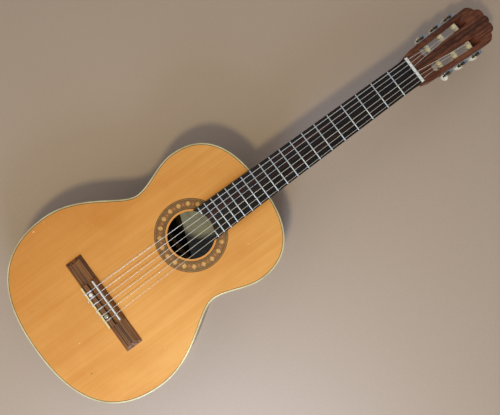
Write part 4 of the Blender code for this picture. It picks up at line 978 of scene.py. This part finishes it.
for n, r in STRING_R.items():
    side, place = string_seat(n)
    here = machine_frame(side, place)
    coil_x = -side * ROLLER_LATERAL[place + 1]
    hole_x = coil_x + side * COIL_TURNS * 2.15 * r
    sleeve_run = [(ROLLER_R - 0.0008, -ROLLER_HALF), (ROLLER_R - 0.0002, -ROLLER_HALF + 0.0003),
                  (ROLLER_R, -ROLLER_HALF + 0.0010), (ROLLER_R, ROLLER_HALF - 0.0010),
                  (ROLLER_R - 0.0002, ROLLER_HALF - 0.0003), (ROLLER_R - 0.0008, ROLLER_HALF)]
    sleeve = shape(f"roller_sleeve_{n}", lathe(sleeve_run, 48, "X"), sleeve_plastic, place=here)
    hole = lathe([(0.00085, -0.006), (0.00085, 0.006)], 16)
    moved(hole, here @ Matrix.Translation((hole_x, 0, 0)) @ Matrix.Rotation(HOLE_TURN - math.pi / 2, 4, "X"))
    carve(sleeve, hole, crease=40)
    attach(sleeve, f"barrel_{n}")
    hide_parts(f"roller_{n}")

    gear_face = WORM_A - GEAR_T / 2
    pivot = lathe([(PIVOT_R * 0.8, side * -(ROLLER_HALF + PIVOT_L)),
                   (PIVOT_R, side * -(ROLLER_HALF + PIVOT_L - 0.0005)),
                   (PIVOT_R, side * -(ROLLER_HALF - 0.0006))], 32, "X")
    lathe([(SHAFT_R, side * (ROLLER_HALF - 0.0006)), (SHAFT_R, side * (gear_face - GAP)),
           (GEAR_SEAT_R, side * (gear_face - GAP)), (GEAR_SEAT_R, side * (gear_face + GEAR_T - GAP))], 32,
          "X", pivot)
    shaft = shape(f"roller_shaft_{n}", pivot, nickel, place=here)
    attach(shaft, f"barrel_{n}")

    faces = [(-GEAR_T / 2, WHEEL_EASE), (-GEAR_T / 2 + WHEEL_EASE, 0), (GEAR_T / 2 - WHEEL_EASE, 0),
             (GEAR_T / 2, WHEEL_EASE)]
    disc = skin([[(side * WORM_A + x, y, z) for y, z in wheel_rim(shrink)] for x, shrink in faces])
    wheel = shape(f"gear_wheel_{n}", disc, old_brass, place=here, crease=25)
    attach(wheel, f"barrel_{n}")
    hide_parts(f"gear_{n}")
    at = here @ Matrix.Translation((side * (WORM_A + GEAR_T / 2), 0, 0)) @ outwards(side)
    screw = shape(f"gear_screw_{n}", screw_head(0.0026, 0.0011, 0.7 * n), screw_steel, place=at)
    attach(screw, f"barrel_{n}")


# Worms: turned steel screws with a single thread, running in the plate's ears, each with a stem that
# carries its button. Nickel plated, greasy and grey in the roots of the thread.
WORM_CORE_R, WORM_TURNS, THREAD_TIP_W, THREAD_ROOT_W = 0.0021, 3, 0.0006, 0.0012
WORM_PITCH = 2 * math.pi * 0.00575 / GEAR_TEETH
JOURNAL_R, STEM_R, STEM_END = 0.0016, 0.0020, -0.0110
worm_steel = plated("worm_steel", shade(120, 134, 152), shade(178, 192, 210), 0.24, shade(70, 74, 80))
ear_out = EAR_IN + EAR_T + GAP
for n in STRING_R:
    side, place = string_seat(n)
    here = machine_frame(side, place) @ Matrix.Translation((side * WORM_A, CENTRE_DISTANCE, 0))
    reach = EAR_IN - GAP
    spindle = lathe([(STEM_R, STEM_END), (STEM_R, -ear_out), (JOURNAL_R, -ear_out), (JOURNAL_R, -reach),
                     (WORM_CORE_R * 0.9, -reach), (WORM_CORE_R, -reach + 0.0003),
                     (WORM_CORE_R, reach - 0.0003),
                     (WORM_CORE_R * 0.9, reach), (JOURNAL_R, reach), (JOURNAL_R, ear_out),
                     (JOURNAL_R * 0.6, ear_out + GAP)])
    thread = []
    for step in range(WORM_TURNS * 28 + 1):
        angle = 2 * math.pi * (0.75 + WORM_TURNS / 2 + step / 28)
        z = WORM_PITCH * (step / 28 - WORM_TURNS / 2)
        fade = min(1.0, step / 6, (WORM_TURNS * 28 - step) / 6)
        tip = WORM_CORE_R + (WORM_TIP_R - WORM_CORE_R) * max(0.05, fade)
        thread.append([(radius * math.cos(angle), radius * math.sin(angle), z + dz) for radius, dz in (
            (WORM_CORE_R * 0.85, -THREAD_ROOT_W / 2), (tip, -THREAD_TIP_W / 2), (tip, THREAD_TIP_W / 2),
            (WORM_CORE_R * 0.85, THREAD_ROOT_W / 2))])
    worm = shape(f"worm_spindle_{n}", skin(thread, spindle), worm_steel, place=here)
    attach(worm, f"peg_{n}")
    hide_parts(f"worm_{n}")


# Buttons: flat ovals of pearly cream plastic moulded on the worms' stems, each standing at the angle at
# which its string was last tuned.
BUTTON_HALF_W, BUTTON_HALF_T, BUTTON_L, BUTTON_NECK_R = 0.0078, 0.0042, 0.0165, 0.0032
BUTTON_TURN = {1: 8, 2: 70, 3: 62, 4: 110, 5: 65, 6: 35}  # degrees
pearloid = Finish("button_pearloid", shade(226, 222, 204), 0.2, {"Coat Weight": 0.5, "Coat Roughness": 0.06})
swirl = pearloid.cloud(pearloid.spread(120, 120, 120), 3, 0.6, 2.2)
flake = pearloid.cloud(pearloid.spread(520, 520, 520), 2, 0.5, 0.8)
tone = pearloid.ramp(pearloid.between(swirl, 0.3, 0.7), (0, shade(196, 190, 164)),
                     (0.5, shade(230, 228, 212)),
                     (1, shade(246, 246, 238)))
pearloid.colour(pearloid.mix(pearloid.between(flake, 0.5, 0.8, 0, 0.3), tone, shade(180, 176, 152)))
pearloid.rough(pearloid.between(swirl, 0.3, 0.7, 0.14, 0.3))
pearloid.relief(flake, 0.00002)
for n in STRING_R:
    side, place = string_seat(n)
    here = machine_frame(side, place) @ Matrix.Translation((side * WORM_A, CENTRE_DISTANCE, 0))
    levels = []
    for level in range(23):
        share = level / 22
        swell = math.sin(math.pi * (0.12 + 0.80 * share)) ** 0.6
        neck_share = max(0.0, 1 - share / 0.12)
        half_w = max(BUTTON_NECK_R, BUTTON_HALF_W * swell) * (1 - neck_share) + BUTTON_NECK_R * neck_share
        half_t = max(BUTTON_NECK_R * 0.8,
                     BUTTON_HALF_T * swell) * (1 - neck_share) + BUTTON_NECK_R * 0.8 * neck_share
        if share > 0.9:
            half_w, half_t = (v * math.sqrt(1 - ((share - 0.9) / 0.105) ** 2 * 0.9) for v in (half_w, half_t))
        z = STEM_END - GAP - BUTTON_L * share
        levels.append([(half_w * x, half_t * y, z) for x, y in circle(1, 36)])
    turn = Matrix.Rotation(math.radians(side * BUTTON_TURN[n]), 4, "Z")
    button = shape(f"peg_button_{n}", moved(skin(levels), turn), pearloid, place=here, crease=60)
    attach(button, f"peg_{n}")
    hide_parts(f"button_{n}")


# Strings: three of clear nylon and three of silver-plated wire wound on floss. Each is looped round
# itself on the tie block, runs over saddle and nut, and winds on its roller. Plain tension holds them.
def cord_through(name, points, radius, finish):
    """A string of this radius through the points."""
    data = bpy.data.curves.new(name, "CURVE")
    data.dimensions, data.bevel_depth, data.bevel_resolution, data.use_fill_caps = "3D", radius, 3, True
    data.materials.append(finish.material)
    spline = data.splines.new("POLY")
    spline.points.add(len(points) - 1)
    for point, at in zip(spline.points, points):
        point.co = (*at, 1)
    piece = bpy.data.objects.new(name, data)
    bpy.context.scene.collection.objects.link(piece)
    return piece


nylon = Finish("clear_nylon", shade(232, 228, 214), 0.35, {"Transmission Weight": 0.25})
cloudy = nylon.cloud(nylon.spread(300, 60, 300), 3, 0.5)
nylon.colour(nylon.ramp(nylon.between(cloudy, 0.3, 0.7), (0, shade(222, 218, 202)),
                        (1, shade(240, 238, 230))))
nylon.rough(nylon.between(cloudy, 0.3, 0.7, 0.16, 0.3))
nylon.relief(cloudy, 0.00002)
wound = Finish("wound_silver", shade(222, 226, 230), 0.42, {"Metallic": 0.4})
turns = wound.node("TexWave", {"Vector": wound.spread(0, 1, 0), "Scale": 1150.0}, bands_direction="Y",
                   wave_profile="SIN").outputs["Fac"]
dulled = wound.cloud(wound.spread(200, 24, 200), 3, 0.6)
tone = wound.ramp(wound.between(dulled, 0.3, 0.75), (0, shade(236, 240, 244)), (1, shade(204, 206, 206)))
# Painted shade: the colour darkens in the troughs between the wire's turns, where shade falls.
wound.colour(wound.mix(wound.between(turns, 0.0, 0.35, 0.25, 0.0), tone, shade(120, 118, 114)))
wound.rough(wound.between(dulled, 0.3, 0.7, 0.36, 0.52))
wound.relief(turns, 0.00005)

STRIP_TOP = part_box("tie_block_strip")[1].z
hole_z = BRIDGE_Z + TIE_HOLE_Z
for n, r in STRING_R.items():
    side, place = string_seat(n)
    here = machine_frame(side, place)
    x, top, crown_z = SADDLE_XS[n], STRIP_TOP + r, SADDLE_TOP_Z + r * 0.9
    lean = -1 if n in (6, 4, 2, 1) else 1
    pair = lean * (r + 0.0001)
    front_z = hole_z + 0.0016
    behind = BRIDGE_REAR - 0.0006 - r
    loop = [(x + lean * 0.0030, BRIDGE_REAR - 0.0036, top - 0.0026),
            (x + 2 * pair, BRIDGE_REAR - 0.0014, top - 0.0004),
            (x + pair, BRIDGE_REAR + 0.0016, top), (x + pair, TIE_FRONT - 0.0012, top + 0.0001),
            (x + pair, TIE_FRONT + 0.0007, top - 0.0008), (x, TIE_FRONT + 0.0016, front_z - 2 * r - 0.0002),
            (x - pair, TIE_FRONT + 0.0009, top - 0.0012), (x - pair, TIE_FRONT - 0.0012, top + 0.0001),
            (x - pair, BRIDGE_REAR + 0.0030, top), (x - pair * 0.5, BRIDGE_REAR + 0.0004, top),
            (x, behind + 0.0002, top - 0.0010), (x, behind, (top + hole_z) / 2),
            (x, behind + 0.0003, hole_z + 0.0008),
            (x, BRIDGE_REAR + 0.0012, hole_z), (x, TIE_FRONT - 0.0010, hole_z),
            (x, TIE_FRONT + 0.0012, hole_z + 0.0011),
            (x, -0.0022, crown_z - 0.0014), (x, -0.0007, crown_z - 0.0001), (x, 0.0006, crown_z)]
    nut_z = NUT_TOP_Z + 0.0003 + r
    start = here @ Vector((-side * ROLLER_LATERAL[place + 1], -0.0010,
                           math.sqrt((ROLLER_R + r) ** 2 - 0.0010**2)))
    run = eased(loop, 5) + [(NUT_XS[n], NUT_FACE + 0.0004, nut_z),
                            (NUT_XS[n], NUT_FACE + 0.0026, nut_z - 0.0002), start]
    line = cord_through(f"string_line_{n}", run, r, nylon if n <= 3 else wound)
    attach(line, "guitar")
    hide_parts(f"string_{n}")

    first = math.acos(-0.0010 / (ROLLER_R + r))
    total = first - HOLE_TURN + 2 * math.pi * COIL_TURNS
    coil_x = -side * ROLLER_LATERAL[place + 1]
    coil = []
    for step in range(73):
        share = step / 72
        angle = first - total * share
        coil.append((coil_x + side * COIL_TURNS * 2.15 * r * share, (ROLLER_R + r) * math.cos(angle),
                     (ROLLER_R + r) * math.sin(angle)))
    out = Vector((0, math.cos(HOLE_TURN), math.sin(HOLE_TURN)))
    hole_x = coil_x + side * COIL_TURNS * 2.15 * r
    coil += [Vector((hole_x, 0, 0)) + out * reach for reach in (ROLLER_R * 0.9, 0, -ROLLER_R,
                                                                -ROLLER_R - 0.0022)]
    wrap = cord_through(f"string_coil_{n}", [here @ Vector(p) for p in coil], r, nylon if n <= 3 else wound)
    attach(wrap, f"barrel_{n}")


# Floor: a plain sheet of pale board that the guitar lies on, matt, with a faint fibre in it.
FLOOR_HALF, FLOOR_T, FLOOR_GAP = 4, 0.0116, 0.0004
floor_board = Finish("pale_board", shade(184, 168, 155), 0.9, {"Specular IOR Level": 0.2})
fibre = floor_board.cloud(floor_board.spread(420, 420, 420), 4, 0.7)
drift = floor_board.cloud(floor_board.spread(2.2, 2.2, 2.2), 3, 0.5)
tone = floor_board.ramp(floor_board.between(fibre, 0.2, 0.8), (0, shade(178, 162, 149)),
                        (1, shade(189, 173, 160)))
floor_board.colour(floor_board.mix(floor_board.between(drift, 0.35, 0.7, 0, 0.25), tone,
                                   shade(182, 163, 146)))
floor_board.relief(fibre, 0.00015)
floor_top = frame_low.z - FLOOR_GAP
corners = [(-FLOOR_HALF, -FLOOR_HALF), (FLOOR_HALF, -FLOOR_HALF), (FLOOR_HALF, FLOOR_HALF),
           (-FLOOR_HALF, FLOOR_HALF)]
floor = shape("floor", plank(corners, floor_top - FLOOR_T, floor_top), floor_board)


# Lights: a warm soft lamp high over the tail and treble side, a weaker and cooler one lower down and
# nearer on the same side, as from a window, and a faint cool panel close to the floor. The room round
# them is pale, brightest in a band above the horizon and dim overhead.
def softbox(name, aim, way, distance, width, power, colour):
    """A square lamp at this distance along way from the point that it faces. The camera doesn't see it."""
    lamp = bpy.data.lights.new(name, "AREA")
    lamp.shape, lamp.size, lamp.size_y, lamp.energy, lamp.color = "RECTANGLE", width, width, power, colour
    stand = bpy.data.objects.new(name, lamp)
    way = Vector(way).normalized()
    stand.location = Vector(aim) + way * distance
    stand.rotation_mode = "QUATERNION"
    stand.rotation_quaternion = way.to_track_quat("Z", "Y")
    stand.visible_camera = False
    bpy.context.scene.collection.objects.link(stand)


AIM, PANEL_AIM = (0.05, 0.2, 0), (0.09, 0, 0.1)
ROOM_GLOW = ((0.2, 0.10), (0.5, 0.64), (0.78, 0.64), (0.95, 0.12))  # how high one looks, and how bright it is
softbox("warm_lamp", AIM, (0.244, -0.276, 0.930), distance=1.56, width=0.18, power=8.8,
        colour=(1.0, 0.82, 0.42))
softbox("window_lamp", AIM, (0.663, -0.497, 0.559), distance=0.85, width=0.30, power=4.2,
        colour=(0.50, 0.68, 1.0))
softbox("low_panel", PANEL_AIM, (0.93, -0.30, 0.20), distance=0.9, width=0.36, power=1.3,
        colour=(0.72, 0.80, 1.0))
room = bpy.data.worlds.new("room")
room.use_nodes = True
nodes, links, sky = room.node_tree.nodes, room.node_tree.links, room.node_tree.nodes["Background"]
sky.inputs["Color"].default_value = (1.0, 0.975, 0.96, 1)
where, parts, height = (nodes.new(f"ShaderNode{kind}") for kind in ("TexCoord", "SeparateXYZ", "ValToRGB"))
links.new(where.outputs["Generated"], parts.inputs[0])
links.new(parts.outputs[2], height.inputs["Fac"])
links.new(height.outputs["Color"], sky.inputs["Strength"])
height.color_ramp.interpolation = "EASE"
for at, strength in ROOM_GLOW:
    stop = height.color_ramp.elements.new(at)
    stop.color = (strength, strength, strength, 1)
height.color_ramp.elements.remove(height.color_ramp.elements[-1])
height.color_ramp.elements.remove(height.color_ramp.elements[0])
bpy.context.scene.world = room
bpy.context.scene.view_settings.view_transform = "Standard"


# Camera: straight over the guitar, turned so that the neck runs to the upper right.
LENS_AT = (0.05689, 0.28629, 1.02502)
TILT, SPIN = (-0.031620, 0.020351, 0.0062553), math.radians(36.82)
LENS_MM, FILM_MM = 39.20, 36
spin = Matrix(((math.sin(SPIN), math.cos(SPIN), 0), (math.cos(SPIN), -math.sin(SPIN), 0), (0, 0, -1)))
tilt = Matrix.Rotation(Vector(TILT).length, 3, Vector(TILT))
right, down, ahead = tilt @ spin
camera_data = bpy.data.cameras.new("camera")
camera_data.lens, camera_data.sensor_width = LENS_MM, FILM_MM
camera_data.clip_start, camera_data.clip_end = 0.05, 30
camera = bpy.data.objects.new("camera", camera_data)
turned = Matrix((right, -down, -ahead)).transposed().to_4x4()
camera.matrix_world = Matrix.Translation(LENS_AT) @ turned
bpy.context.scene.collection.objects.link(camera)
bpy.context.scene.camera = camera
